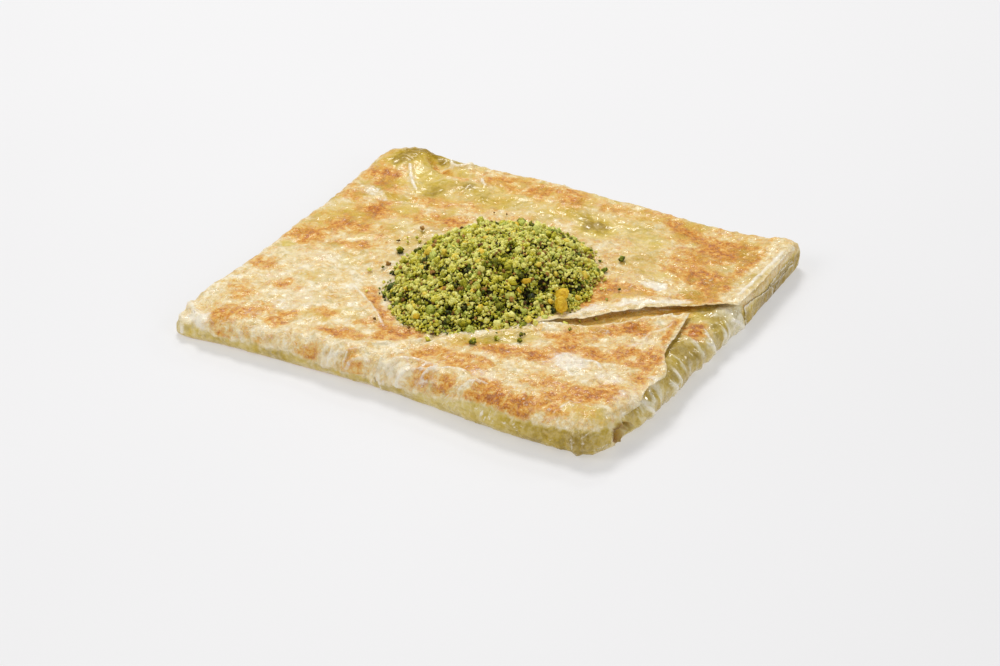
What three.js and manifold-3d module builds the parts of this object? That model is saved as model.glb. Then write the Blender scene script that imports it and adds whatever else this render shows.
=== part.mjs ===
// Katmer: a thin-stretched dough folded into a flat square packet, with a heap of crushed pistachio on top.
//
// Millimetres, +Z up. The origin is the centre of the packet's flat underside. +X runs along the long
// front fold towards the open, layered side, and +Y runs to the back fold.
//
// Pieces: the folded dough, which is one sheet and so one solid, the pistachio heap, and the two
// nut pieces that are as large as berries and lean on the heap.

import * as THREE from "three";
import { mergeVertices } from "three/addons/utils/BufferGeometryUtils.js";
import Module from "manifold-3d";

// ---------------------------------------------------------------- driving dimensions

const LENGTH = 210; // the packet along X
const DEPTH = 188; // the packet along Y
const HALF_X = LENGTH / 2;
const HALF_Y = DEPTH / 2;

const FLAP_THICKNESS = 1.6; // the leaves of one top flap at its rim
const LEDGE_DROP = 2.1; // how far the leaves outside a flap lie below the packet's top
const CREVICE_DEPTH = 6; // how far an open gap between leaves reaches in
const CREVICE_HEIGHT = 0.9;
const CREVICE_MOUTH = 1.2; // how far a gap's cut starts outside the rim
const OPEN_SIDE_RADIUS = 3.4; // rounding of the open side, where the leaves end
const FOOT_TRIM = 1; // how much is cut off below to make the flat underside
const CLEARANCE = 0.3; // gap kept between two separate pieces

// Height of the packet's top at its four corners and the extra height of its middle.
const CORNER_HEIGHT = { frontLeft: 12.0, frontRight: 18.0, backLeft: 12.5, backRight: 12.0 };
const CROWN_HEIGHT = 1.8;

// How sharp each corner is in plan: a larger exponent gives a smaller corner radius.
const CORNER_SHARPNESS = { frontLeft: 40, frontRight: 34, backLeft: 14, backRight: 64 };

const CORNER_FULLNESS = 0.12; // what the left corner's rounding takes off the length

// Swellings and hollows of the top: centre, radius and height.
const TOP_SWELLINGS = [
  { x: -84, y: 80, radius: 13, height: 3.4 }, // puffed back left corner
  { x: -68, y: 83, radius: 7, height: -3.0 }, // pinch beside it
  { x: -45, y: 78, radius: 17, height: 1.6 },
  { x: -8, y: 80, radius: 15, height: 1.3 },
  { x: 66, y: 78, radius: 20, height: -1.6 },
  { x: 98, y: 86, radius: 9, height: 1.6 },
  { x: -80, y: -60, radius: 24, height: 1.2 },
  { x: -92, y: -8, radius: 12, height: -1.4 }, // dip in the left fold
  { x: 25, y: 60, radius: 12, height: -1.0 },
  { x: 30, y: -70, radius: 22, height: 0.9 },
  { x: -104, y: -86, radius: 14, height: -5.5 }, // pinched front left corner
];

// The heap of crushed pistachio: its centre, radius and height, how much longer it is along Y, and how
// deep its solid starts.
const HEAP = { x: 4.5, y: -5, radius: 45, stretch: 1.15, height: 17, sunk: 6 };

// The two berry-size pieces that lean on the heap's open side: the way to each from the heap's centre in
// degrees from +X, how far out as a share of the heap's radius, its half sizes, then how it lies.
const NUT_PIECES = [
  { name: "nut_piece_long", way: -17, reach: 0.9, size: [3.7, 3.0, 3.9], lean: 0.3, turn: 0.6, lift: 0.1 },
  { name: "nut_piece_round", way: -8, reach: 0.8, size: [3.4, 2.8, 2.4], lean: 0.15, turn: -0.4, lift: 3.2 },
];

// ---------------------------------------------------------------- shape functions

const { lerp, clamp, smoothstep } = THREE.MathUtils;

/** Mixes the four corner values of a unit square. */
function mixCorners(corners, u, v) {
  return lerp(
    lerp(corners.frontLeft, corners.frontRight, u),
    lerp(corners.backLeft, corners.backRight, u),
    v,
  );
}

/** Y of the front fold at a share u of the length: it swings out towards the near corner. */
const frontY = (u) => -HALF_Y + 8.2 * (1 - smoothstep(u, 0.42, 0.86));
/** Y of the back fold at a share u of the length. */
const backY = (u) => HALF_Y - 0.9 * Math.sin(Math.PI * u) * (1 + Math.sin(9 * u)) * 0.5;
/** X of the left fold at a share v of the depth. */
const leftX = (v) => {
  const wave = 0.9 * Math.sin(Math.PI * v) * Math.sin(11 * v);
  return -HALF_X - CORNER_FULLNESS + 4.6 * smoothstep(v, 0.08, 0.45) + wave;
};
/** X of the open side at a share v of the depth: it is fullest past the middle. */
const rightX = (v) => HALF_X - 6.0 * (1 - smoothstep(v, 0.0, 0.22)) - 1.6 * smoothstep(v, 0.62, 0.95);

/** Height of the packet's top above its underside, before the folds round it off. */
function topHeight(x, y) {
  const u = clamp((x + HALF_X) / LENGTH, 0, 1);
  const v = clamp((y + HALF_Y) / DEPTH, 0, 1);
  let z = mixCorners(CORNER_HEIGHT, u, v) + CROWN_HEIGHT * Math.sin(Math.PI * u) * Math.sin(Math.PI * v);
  z += 0.5 * Math.sin(x / 13 + 1.3) * Math.cos(y / 17 + 0.4) + 0.35 * Math.sin((x + y) / 9);
  for (const s of TOP_SWELLINGS) {
    const d2 = ((x - s.x) ** 2 + (y - s.y) ** 2) / s.radius ** 2;
    z += s.height * Math.exp(-d2);
  }
  return z;
}

/** Plan position of the point (a, b) of the square -1..1, with rounded corners. */
function planPoint(a, b) {
  const u = (a + 1) / 2;
  const v = (b + 1) / 2;
  const n = mixCorners(CORNER_SHARPNESS, u, v);
  const most = Math.max(Math.abs(a), Math.abs(b));
  const shrink = most === 0 ? 1 : most / (Math.abs(a) ** n + Math.abs(b) ** n) ** (1 / n);
  const ru = (a * shrink + 1) / 2;
  const rv = (b * shrink + 1) / 2;
  return new THREE.Vector2(lerp(leftX(rv), rightX(rv), ru), lerp(frontY(ru), backY(ru), rv));
}

// ---------------------------------------------------------------- solids and booleans

const wasm = await Module();
wasm.setup();

/** A closed three.js geometry as a solid. */
function toSolid(geometry) {
  const bare = geometry.clone();
  bare.deleteAttribute("normal");
  bare.deleteAttribute("uv");
  const merged = mergeVertices(bare, 1e-3);
  return new wasm.Manifold(
    new wasm.Mesh({
      numProp: 3,
      vertProperties: new Float32Array(merged.attributes.position.array),
      triVerts: new Uint32Array(merged.index.array),
    }),
  );
}

/** A solid as a three.js geometry. */
function toGeometry(solid) {
  const mesh = solid.getMesh();
  const positions = new Float32Array(mesh.numVert * 3);
  for (let i = 0; i < mesh.numVert; i += 1) {
    positions.set(mesh.vertProperties.subarray(i * mesh.numProp, i * mesh.numProp + 3), i * 3);
  }
  const geometry = new THREE.BufferGeometry();
  geometry.setAttribute("position", new THREE.BufferAttribute(positions, 3));
  geometry.setIndex(new THREE.BufferAttribute(new Uint32Array(mesh.triVerts), 1));
  geometry.computeVertexNormals();
  return geometry;
}

/** Moves every vertex of a geometry by a function of its place. */
function reshape(geometry, move) {
  const position = geometry.attributes.position;
  const point = new THREE.Vector3();
  for (let i = 0; i < position.count; i += 1) {
    point.fromBufferAttribute(position, i);
    move(point);
    position.setXYZ(i, point.x, point.y, point.z);
  }
  return geometry;
}

/** A plate between two heights, both functions of the place, over an outline in plan. */
function plate(outline, floor, ceiling) {
  const slab = new THREE.ExtrudeGeometry(new THREE.Shape(outline), { depth: 1, bevelEnabled: false });
  return toSolid(
    reshape(slab, (p) => {
      p.z = p.z < 0.5 ? floor(p.x, p.y) : ceiling(p.x, p.y);
    }),
  );
}

/** A plan point at shares of the packet's half length and half depth. */
const place = (u, v) => new THREE.Vector2(u * HALF_X, v * HALF_Y);

/** Points along a smooth curve through the given plan points. */
function smoothLine(points, count) {
  const curve = new THREE.CatmullRomCurve3(points.map((p) => new THREE.Vector3(p.x, p.y, 0)));
  return curve.getPoints(count).map((p) => new THREE.Vector2(p.x, p.y));
}

/** Points along a line whose middle stands off the straight way by the bow, to its left if positive. */
function bowedLine(from, to, bow, count) {
  const along = to.clone().sub(from).normalize();
  return Array.from({ length: count + 1 }, (_, i) => {
    const t = i / count;
    const off = bow * 4 * t * (1 - t);
    return from.clone().lerp(to, t).add(new THREE.Vector2(-along.y * off, along.x * off));
  });
}

/** A line moved sideways by a distance, to its left if positive. */
function sideways(line, distance) {
  return line.map((p, i) => {
    const along = line[Math.min(i + 1, line.length - 1)].clone().sub(line[Math.max(i - 1, 0)]).normalize();
    return new THREE.Vector2(p.x - along.y * distance, p.y + along.x * distance);
  });
}

/** An outline between two copies of a line moved sideways, turned anticlockwise. */
function strip(line, from, to) {
  const outline = [...sideways(line, from), ...sideways(line, to).reverse()];
  return THREE.ShapeUtils.area(outline) < 0 ? outline.reverse() : outline;
}

// ---------------------------------------------------------------- the folded packet

// The front flap's edge leaves the front fold at its root and lies on the back flap along the seam. From
// where the two flaps part it runs to the front flap's free corner, and then down the open side.
const FLAP_ROOT = place(-0.05, -0.85);
const FLAPS_PART = place(0.4, -0.3);
const FREE_CORNER = place(0.85, 0.1);
const GAP_END = place(1.01, 0.3); // where the back flap's rim leaves over the open side

const SEAM = bowedLine(FLAP_ROOT, FLAPS_PART, 3, 16);
const FRONT_FLAP_RIM = bowedLine(FLAPS_PART, FREE_CORNER, -5, 12);
const BACK_FLAP_RIM = bowedLine(FLAPS_PART, GAP_END, 3, 18);
// The front flap's rim along the open side: drawn in near its free corner, full near the front fold.
const FRONT_FLAP_SIDE = smoothLine(
  [FREE_CORNER, place(0.9, -0.15), place(0.98, -0.45), place(0.97, -0.7), place(0.93, -0.95)],
  22,
);
// The crease where the left flap ends under the heap.
const LEFT_CREASE = bowedLine(place(-0.5, -0.35), place(-0.15, -0.65), 1, 12);

/** The packet as a closed pillow: round folds in front, left and behind, a squarer open side. */
function packetBody() {
  const box = new THREE.BoxGeometry(2, 2, 2, 40, 36, 3);
  const spread = (t) => Math.sign(t) * (1 - (1 - Math.abs(t)) ** 1.55);
  reshape(box, (p) => {
    const a = spread(p.x);
    const b = spread(p.y);
    const level = (p.z + 1) / 2;
    const outer = planPoint(a, b);
    const half = topHeight(outer.x, outer.y) / 2;
    const openness = smoothstep(a, 0.9, 1);
    const reach = lerp(half, OPEN_SIDE_RADIUS, openness);
    if (p.z > 0.999) {
      const e = Math.min((1 - Math.abs(a)) * HALF_X, (1 - Math.abs(b)) * HALF_Y);
      const t = clamp(1 - e / reach, 0, 1);
      p.set(outer.x, outer.y, half + half * Math.sqrt(1 - t * t));
      return;
    }
    // Side and underside: the lower half of the round fold, then the flat foot.
    const turn = (1 - level) * (Math.PI / 2);
    const inset = reach * (1 - Math.cos(turn));
    const foot = planPoint(a * (1 - inset / HALF_X), b * (1 - inset / HALF_Y));
    p.set(foot.x, foot.y, p.z < -0.999 ? -FOOT_TRIM : half * (1 - Math.sin(turn)) - FOOT_TRIM * (1 - level));
  });
  const ground = new THREE.BoxGeometry(LENGTH + 20, DEPTH + 20, 40);
  ground.translate(0, 0, -20);
  return toSolid(box).subtract(toSolid(ground));
}

const ledgeHeight = (x, y) => topHeight(x, y) - LEDGE_DROP;
const aboveAll = (x, y) => topHeight(x, y) + 6;

/** What both top flaps leave open: the gap along the seam and the ledge on the open side. */
function openMargin() {
  const outside = HALF_X + 6;
  const outline = [
    ...BACK_FLAP_RIM,
    new THREE.Vector2(outside, GAP_END.y),
    new THREE.Vector2(outside, -HALF_Y - 6),
    new THREE.Vector2(FRONT_FLAP_SIDE.at(-1).x, -HALF_Y - 6),
    ...FRONT_FLAP_SIDE.slice().reverse(),
    ...FRONT_FLAP_RIM.slice(1, -1).reverse(),
  ];
  if (THREE.ShapeUtils.area(outline) < 0) outline.reverse();
  return plate(outline, ledgeHeight, aboveAll);
}

/** A thin open gap that runs in under a flap's rim, to the left of the line if inward is 1. */
function crevice(rim, inward) {
  return plate(
    strip(rim, -inward * CREVICE_MOUTH, inward * CREVICE_DEPTH),
    (x, y) => topHeight(x, y) - FLAP_THICKNESS - CREVICE_HEIGHT,
    (x, y) => topHeight(x, y) - FLAP_THICKNESS,
  );
}

/** A shallow groove that follows a line on the top. */
function groove(line, width, depth) {
  return plate(strip(line, 0, width), (x, y) => topHeight(x, y) - depth, aboveAll);
}

/** The mouth between two leaves near the front right corner. */
function cornerPocket() {
  const mouth = new THREE.SphereGeometry(1, 12, 8);
  mouth.scale(9, 5.5, 2.6);
  mouth.rotateZ(0.15);
  mouth.translate(102, -76, 7.2);
  return toSolid(mouth);
}

/** Gaps between the stacked leaves on the open side, as stretches of the depth and shares of the height. */
function sideLeafGaps() {
  const line = (from, to) => {
    const points = [];
    for (let i = 0; i <= 16; i += 1) {
      const v = lerp(from, to, i / 16);
      points.push(new THREE.Vector2(rightX(v) + 3, lerp(-HALF_Y, HALF_Y, v)));
    }
    return points;
  };
  const gap = (from, to, share) =>
    plate(
      strip(line(from, to), 0, CREVICE_DEPTH + 3),
      (x, y) => topHeight(x, y) * share,
      (x, y) => topHeight(x, y) * share + CREVICE_HEIGHT,
    );
  return [gap(0.66, 0.96, 0.8), gap(0.62, 0.93, 0.46), gap(0.3, 0.56, 0.5), gap(0.05, 0.4, 0.22)];
}

function foldedDough() {
  let solid = packetBody().subtract(openMargin());
  const cuts = [
    crevice(BACK_FLAP_RIM, 1),
    crevice(FRONT_FLAP_SIDE, -1),
    groove(SEAM, 1.4, 1.3),
    groove(LEFT_CREASE, 1.2, 0.8),
    cornerPocket(),
    ...sideLeafGaps(),
  ];
  for (const cut of cuts) solid = solid.subtract(cut);
  const bodies = solid.decompose();
  bodies.sort((p, q) => q.volume() - p.volume());
  return bodies[0];
}

// ---------------------------------------------------------------- the topping

/** A nut piece: a rounded, slightly faceted lump that leans on the heap. */
function nutPiece({ way, reach, size, lean, turn, lift }, grow = 0) {
  const angle = THREE.MathUtils.degToRad(way);
  const x = HEAP.x + HEAP.radius * reach * Math.cos(angle);
  const y = HEAP.y + HEAP.radius * reach * Math.sin(angle);
  const lump = new THREE.IcosahedronGeometry(1, 2);
  reshape(lump, (p) => {
    const bumps = 1 + 0.1 * Math.sin(4 * p.x + 1) * Math.cos(3 * p.y) + 0.07 * Math.sin(5 * p.z + 2);
    p.multiplyScalar(bumps);
  });
  lump.scale(size[0] + grow, size[1] + grow, size[2] + grow);
  lump.rotateX(lean);
  lump.rotateZ(turn);
  lump.translate(x, y, topHeight(x, y) + lift + size[2]);
  return toSolid(lump);
}

/** The heap as one low mound with an uneven outline and a lumpy face. */
function heapMound() {
  const profile = [new THREE.Vector2(0, -HEAP.sunk)];
  const rings = 11;
  profile.push(new THREE.Vector2(HEAP.radius, -HEAP.sunk));
  for (let i = 1; i <= rings; i += 1) {
    const t = 1 - i / rings;
    const share = t ** 0.8;
    profile.push(new THREE.Vector2(HEAP.radius * share, HEAP.height * (1 - share ** 2.3) ** 1.3));
  }
  const mound = new THREE.LatheGeometry(profile, 40);
  mound.rotateX(Math.PI / 2);
  reshape(mound, (p) => {
    const angle = Math.atan2(p.y, p.x);
    const outline = 1 + 0.05 * Math.cos(2 * angle - 2.33) + 0.025 * Math.cos(3 * angle - 0.94);
    const lumps = 0.7 * Math.sin(p.x / 4.1 + 0.5) * Math.cos(p.y / 4.7) + 0.5 * Math.sin((p.x - p.y) / 6);
    p.set(
      HEAP.x + p.x * outline,
      HEAP.y + p.y * outline * HEAP.stretch,
      topHeight(HEAP.x, HEAP.y) + p.z + (p.z > 0 ? lumps : 0),
    );
  });
  return toSolid(mound);
}

function pistachioHeap(dough, nutPieces) {
  let solid = heapMound().subtract(dough.translate([0, 0, CLEARANCE]));
  for (const piece of nutPieces) solid = solid.subtract(piece);
  const bodies = solid.decompose();
  bodies.sort((p, q) => q.volume() - p.volume());
  return bodies[0];
}

// ---------------------------------------------------------------- the scene graph

const doughMaterial = new THREE.MeshStandardMaterial({ color: 0xdcc48c, roughness: 0.5, metalness: 0 });
const pistachioMaterial = new THREE.MeshStandardMaterial({ color: 0x8f9a3a, roughness: 0.8, metalness: 0 });
const nutMaterial = new THREE.MeshStandardMaterial({ color: 0xd2b23c, roughness: 0.6, metalness: 0 });

function namedMesh(name, solid, material) {
  const mesh = new THREE.Mesh(toGeometry(solid), material);
  mesh.name = name;
  return mesh;
}

const dough = foldedDough();
const raisedDough = dough.translate([0, 0, CLEARANCE]);
const katmer = new THREE.Group();
katmer.add(namedMesh("folded_dough", dough, doughMaterial));
const grownNutPieces = NUT_PIECES.map((piece) => nutPiece(piece, CLEARANCE));
katmer.add(namedMesh("pistachio_heap", pistachioHeap(dough, grownNutPieces), pistachioMaterial));
for (const piece of NUT_PIECES) {
  katmer.add(namedMesh(piece.name, nutPiece(piece).subtract(raisedDough), nutMaterial));
}

export default katmer;
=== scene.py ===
"""Looks of a katmer: a folded packet of thin oiled dough, browned in a pan, under crushed pistachio.

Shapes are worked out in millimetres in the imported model's frame and placed in metres at the end. +Z is
up, the origin is the middle of the packet's underside, -Y is the front fold and +X the open side.
"""

import logging
import math
from collections.abc import Callable, Sequence
from dataclasses import dataclass, field
from enum import Enum

import bmesh
import bpy
import numpy as np
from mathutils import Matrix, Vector
from mathutils.kdtree import KDTree


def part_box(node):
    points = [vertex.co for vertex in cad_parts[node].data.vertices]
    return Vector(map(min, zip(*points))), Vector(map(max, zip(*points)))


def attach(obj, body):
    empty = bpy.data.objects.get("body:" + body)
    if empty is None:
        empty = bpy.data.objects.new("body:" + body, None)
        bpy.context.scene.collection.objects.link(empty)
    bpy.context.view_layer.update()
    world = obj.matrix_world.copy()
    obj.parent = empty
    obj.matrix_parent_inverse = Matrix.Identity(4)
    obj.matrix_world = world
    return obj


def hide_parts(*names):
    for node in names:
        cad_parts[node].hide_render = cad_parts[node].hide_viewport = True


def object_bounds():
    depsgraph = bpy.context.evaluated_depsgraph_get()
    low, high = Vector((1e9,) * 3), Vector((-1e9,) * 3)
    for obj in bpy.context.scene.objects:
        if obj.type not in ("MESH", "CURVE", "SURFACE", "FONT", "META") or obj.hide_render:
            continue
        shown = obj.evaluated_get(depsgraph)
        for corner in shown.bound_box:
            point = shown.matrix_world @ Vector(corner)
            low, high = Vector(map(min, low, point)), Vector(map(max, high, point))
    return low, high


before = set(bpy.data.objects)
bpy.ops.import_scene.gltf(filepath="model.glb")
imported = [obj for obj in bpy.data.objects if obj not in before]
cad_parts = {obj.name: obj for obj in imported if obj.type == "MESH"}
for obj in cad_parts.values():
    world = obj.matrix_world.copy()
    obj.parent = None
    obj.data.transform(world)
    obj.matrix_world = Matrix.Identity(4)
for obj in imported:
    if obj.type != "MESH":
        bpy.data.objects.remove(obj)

CAD_LOW, CAD_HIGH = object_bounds()
LOG = logging.getLogger("katmer")
MM = 0.001
BODY = "root"

Array = np.ndarray
Plan = tuple[float, float]


# ------------------------------------------------------------------ numbers and noise


def smoothstep(value: Array, low: float, high: float) -> Array:
    """Rises smoothly from 0 at low to 1 at high."""
    t = np.clip((value - low) / (high - low), 0.0, 1.0)
    return t * t * (3.0 - 2.0 * t)


def lerp(a: Array, b: Array, t: Array) -> Array:
    """Goes straight from a to b."""
    return a + (b - a) * t


class GradientNoise:
    """Smooth noise of about -1..1 in space, the same on every run."""

    def __init__(self, seed: int) -> None:
        """Draws the table of directions.

        Args:
            seed: names one noise pattern.
        """
        generator = np.random.default_rng(seed)
        self.table = np.tile(generator.permutation(256), 3)
        directions = generator.normal(size=(256, 3))
        self.directions = directions / np.linalg.norm(directions, axis=1)[:, None]

    def at(self, points: Array, size: float | Sequence[float]) -> Array:
        """One octave of noise.

        Args:
            points: places, one row each.
            size: wavelength, or one wavelength for each axis.

        Returns:
            A value for each place.
        """
        scaled = points / np.asarray(size, float)
        cell = np.floor(scaled).astype(int)
        inside = scaled - cell
        fade = inside**3 * (inside * (inside * 6 - 15) + 10)
        total = np.zeros(len(points))
        for corner in range(8):
            step = np.array([corner & 1, corner >> 1 & 1, corner >> 2 & 1])
            key = (cell + step) & 255
            code = self.table[self.table[self.table[key[:, 0]] + key[:, 1]] + key[:, 2]]
            reach = np.einsum("ij,ij->i", self.directions[code], inside - step)
            weight = np.prod(np.where(step, fade, 1 - fade), axis=1)
            total += reach * weight
        return total * 1.6

    def cloud(self, points: Array, size: float | Sequence[float], octaves: int = 3) -> Array:
        """Noise with finer and fainter octaves added.

        Args:
            points: places, one row each.
            size: wavelength of the first octave.
            octaves: how many octaves.

        Returns:
            A value of about -1..1 for each place.
        """
        total = np.zeros(len(points))
        share = 1.0
        whole = 0.0
        for octave in range(octaves):
            shifted = points + 17.3 * octave
            total += share * self.at(shifted, np.asarray(size, float) / 2.0**octave)
            whole += share
            share *= 0.55
        return total / whole

    def ridges(self, points: Array, size: float | Sequence[float], octaves: int = 2) -> Array:
        """Noise with thin raised lines, as in crumpled skin.

        Args:
            points: places, one row each.
            size: wavelength of the first octave.
            octaves: how many octaves.

        Returns:
            A value of 0..1 for each place, 1 on the lines.
        """
        total = np.zeros(len(points))
        share = 1.0
        whole = 0.0
        for octave in range(octaves):
            shifted = points + 31.7 * octave
            line = 1.0 - np.abs(self.at(shifted, np.asarray(size, float) / 2.0**octave))
            total += share * np.clip(line, 0, 1) ** 3
            whole += share
            share *= 0.5
        return total / whole


# ------------------------------------------------------------------ lines and outlines


class SmoothLine:
    """A smooth line through a few points of a plane."""

    def __init__(self, points: Sequence[Plan], spacing: float = 1.5, smooth: bool = True) -> None:
        """Samples the line.

        Args:
            points: the points that the line goes through.
            spacing: how far apart its samples lie.
            smooth: round its bends, or keep them sharp.
        """
        given = np.array(points, float)
        if not smooth:
            self.samples = given
            return
        padded = np.vstack([2 * given[0] - given[1], given, 2 * given[-1] - given[-2]])
        runs = []
        for p0, p1, p2, p3 in zip(padded, padded[1:], padded[2:], padded[3:]):
            count = max(2, int(np.linalg.norm(p2 - p1) / spacing))
            t = np.linspace(0, 1, count, endpoint=False)[:, None]
            bend = (2 * p0 - 5 * p1 + 4 * p2 - p3) * t**2 + (3 * p1 - p0 - 3 * p2 + p3) * t**3
            runs.append(p1 + 0.5 * ((p2 - p0) * t + bend))
        self.samples = np.vstack([*runs, given[-1:]])

    def distance(self, x: Array, y: Array) -> tuple[Array, Array]:
        """How far places lie from the line, and beside what share of its length.

        Args:
            x: first coordinates.
            y: second coordinates.

        Returns:
            Distances, and shares of the length from 0 to 1.
        """
        best = np.full(len(x), np.inf)
        share = np.zeros(len(x))
        starts, ends = self.samples[:-1], self.samples[1:]
        lengths = np.linalg.norm(ends - starts, axis=1)
        run = np.concatenate([[0], np.cumsum(lengths)])
        for i, (start, end) in enumerate(zip(starts, ends)):
            along = end - start
            t = ((x - start[0]) * along[0] + (y - start[1]) * along[1]) / max(lengths[i] ** 2, 1e-9)
            t = np.clip(t, 0, 1)
            far = np.hypot(x - start[0] - t * along[0], y - start[1] - t * along[1])
            closer = far < best
            best = np.where(closer, far, best)
            share = np.where(closer, (run[i] + t * lengths[i]) / run[-1], share)
        return best, share

    def reversed(self) -> "SmoothLine":
        """The same line from its other end."""
        return SmoothLine(self.samples[::-1], smooth=False)


class Outline:
    """A closed region of a plane, part of whose edge is real and the rest far off."""

    def __init__(self, *parts: SmoothLine | Sequence[Plan]) -> None:
        """Closes the parts into one region.

        Args:
            parts: the real edge's lines and the far-off corners between them, in order.
        """
        self.edge = [part for part in parts if isinstance(part, SmoothLine)]
        corners = [part.samples if isinstance(part, SmoothLine) else np.array(part, float) for part in parts]
        self.corners = np.vstack(corners)

    def signed(self, x: Array, y: Array) -> Array:
        """Distance from the real edge, positive inside the region."""
        distance = np.min([line.distance(x, y)[0] for line in self.edge], axis=0)
        inside = np.zeros(len(x), bool)
        for p, q in zip(self.corners, np.roll(self.corners, -1, axis=0)):
            if p[1] == q[1]:
                continue
            spans = (p[1] > y) != (q[1] > y)
            cross = p[0] + (y - p[1]) / (q[1] - p[1]) * (q[0] - p[0])
            inside ^= spans & (x < cross)
        return np.where(inside, distance, -distance)


# ------------------------------------------------------------------ the packet's smooth form


@dataclass(frozen=True)
class Swelling:
    """A round swelling of the packet's top, or a hollow if its height is negative."""

    x: float
    y: float
    radius: float
    height: float


SWELLINGS = (
    Swelling(-84, 80, 13, 3.4),  # puffed back left corner
    Swelling(-68, 83, 7, -3.0),  # pinch beside it
    Swelling(-45, 78, 17, 1.6),
    Swelling(-8, 80, 15, 1.3),
    Swelling(66, 78, 20, -1.6),
    Swelling(98, 86, 9, 1.6),
    Swelling(-80, -60, 24, 1.2),
    Swelling(-92, -8, 12, -1.4),  # dip in the left fold
    Swelling(25, 60, 12, -1.0),
    Swelling(30, -70, 22, 0.9),
    Swelling(-104, -86, 14, -5.5),  # pinched front left corner
)


@dataclass(frozen=True)
class PacketForm:
    """The packet's smooth form, as the solid has it, over a square of -1..1 that wraps round the folds."""

    length: float
    depth: float
    corner_heights: tuple[float, float, float, float] = (12.0, 18.0, 12.5, 12.0)
    corner_sharpness: tuple[float, float, float, float] = (40, 34, 14, 64)
    corner_fullness: float = 0.12
    crown: float = 1.8
    top_share: float = 0.83
    open_radius: float = 3.0
    foot: float = 0.7

    def corner_mix(self, corners: Sequence[float], u: Array, v: Array) -> Array:
        """Mixes values of the front left, front right, back left and back right corners."""
        front = lerp(corners[0], corners[1], u)
        back = lerp(corners[2], corners[3], u)
        return lerp(front, back, v)

    def top_height(self, x: Array, y: Array) -> Array:
        """Height of the top above the underside, before the folds round it off."""
        u = np.clip(x / self.length + 0.5, 0, 1)
        v = np.clip(y / self.depth + 0.5, 0, 1)
        z = self.corner_mix(self.corner_heights, u, v)
        z = z + self.crown * np.sin(math.pi * u) * np.sin(math.pi * v)
        z += 0.5 * np.sin(x / 13 + 1.3) * np.cos(y / 17 + 0.4) + 0.35 * np.sin((x + y) / 9)
        for swelling in SWELLINGS:
            share = ((x - swelling.x) ** 2 + (y - swelling.y) ** 2) / swelling.radius**2
            z += swelling.height * np.exp(-share)
        return z

    def plan_point(self, a: Array, b: Array) -> tuple[Array, Array]:
        """Plan position of a point of the square, with the packet's uneven sides and rounded corners."""
        half_x, half_y = self.length / 2, self.depth / 2
        sharpness = self.corner_mix(self.corner_sharpness, (a + 1) / 2, (b + 1) / 2)
        most = np.maximum(np.maximum(np.abs(a), np.abs(b)), 1e-9)
        corner = (np.abs(a) / most) ** sharpness + (np.abs(b) / most) ** sharpness
        rounded = np.maximum(corner, 0.5) ** (-1 / sharpness)
        u = (a * rounded + 1) / 2
        v = (b * rounded + 1) / 2
        front = -half_y + 8.2 * (1 - smoothstep(u, 0.42, 0.86))
        back = half_y - 0.45 * np.sin(math.pi * u) * (1 + np.sin(9 * u))
        left = -half_x - self.corner_fullness + 4.6 * smoothstep(v, 0.08, 0.45)
        left = left + 0.9 * np.sin(math.pi * v) * np.sin(11 * v)
        right = half_x - 6.0 * (1 - smoothstep(v, 0.0, 0.22)) - 1.6 * smoothstep(v, 0.62, 0.95)
        return lerp(left, right, u), lerp(front, back, v)

    def surface(self, a: Array, b: Array) -> tuple[Array, Array]:
        """Places of points of the square on the top and round the folds.

        Args:
            a: first coordinates in the square.
            b: second coordinates in the square.

        Returns:
            Places in millimetres, and each place's turn round its fold, from 0 on top to pi below.
        """
        most = np.maximum(np.maximum(np.abs(a), np.abs(b)), 1e-9)
        way_a, way_b = a / most, b / most
        rim_x, rim_y = self.plan_point(way_a, way_b)
        half = self.top_height(rim_x, rim_y) / 2
        openness = smoothstep(way_a, 0.9, 1.0) * smoothstep(rim_y, 16.0, 34.0)
        reach = lerp(half, self.open_radius, openness)
        turn = np.clip((most - self.top_share) / (1 - self.top_share), 0, 1) * math.pi
        inset = reach * (1 - np.sin(turn) ** lerp(1.0, 0.6, openness))
        level = 0.5 + 0.5 * np.sign(np.cos(turn)) * np.abs(np.cos(turn)) ** lerp(1.0, 0.7, openness)
        spread = np.minimum(most / self.top_share, 1)
        x, y = self.plan_point(
            way_a * spread * (1 - inset * 2 / self.length),
            way_b * spread * (1 - inset * 2 / self.depth),
        )
        z = np.maximum(self.top_height(x, y) * level - self.foot * (1 - level), 0)
        return np.column_stack([x, y, z]), turn


# ------------------------------------------------------------------ where the leaves end

HALF_LENGTH = CAD_HIGH[0] / MM
HALF_DEPTH = CAD_HIGH[1] / MM
CURVE_POINTS = 25  # along each bowed line and round each oval


def plan_share(u: float, v: float) -> Plan:
    """A plan point at shares of the packet's half length and half depth."""
    return u * HALF_LENGTH, v * HALF_DEPTH


def bowed_line(start: Plan, end: Plan, bow: float) -> SmoothLine:
    """A line whose middle stands off the straight way by the bow, to its left if positive."""
    a, b = np.array(start), np.array(end)
    along = (b - a) / np.linalg.norm(b - a)
    left = np.array((-along[1], along[0]))
    t = np.linspace(0, 1, CURVE_POINTS)[:, None]
    return SmoothLine(a + (b - a) * t + 4 * bow * t * (1 - t) * left, smooth=False)


def oval(middle: Plan, half_width: float, half_height: float, lean: float) -> SmoothLine:
    """A closed oval, leaning by an angle in radians."""
    turn = np.linspace(0, 2 * math.pi, CURVE_POINTS)
    u, v = half_width * np.cos(turn), half_height * np.sin(turn)
    across = middle[0] + u * math.cos(lean) - v * math.sin(lean)
    up = middle[1] + u * math.sin(lean) + v * math.cos(lean)
    return SmoothLine(np.column_stack([across, up]), smooth=False)


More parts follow.
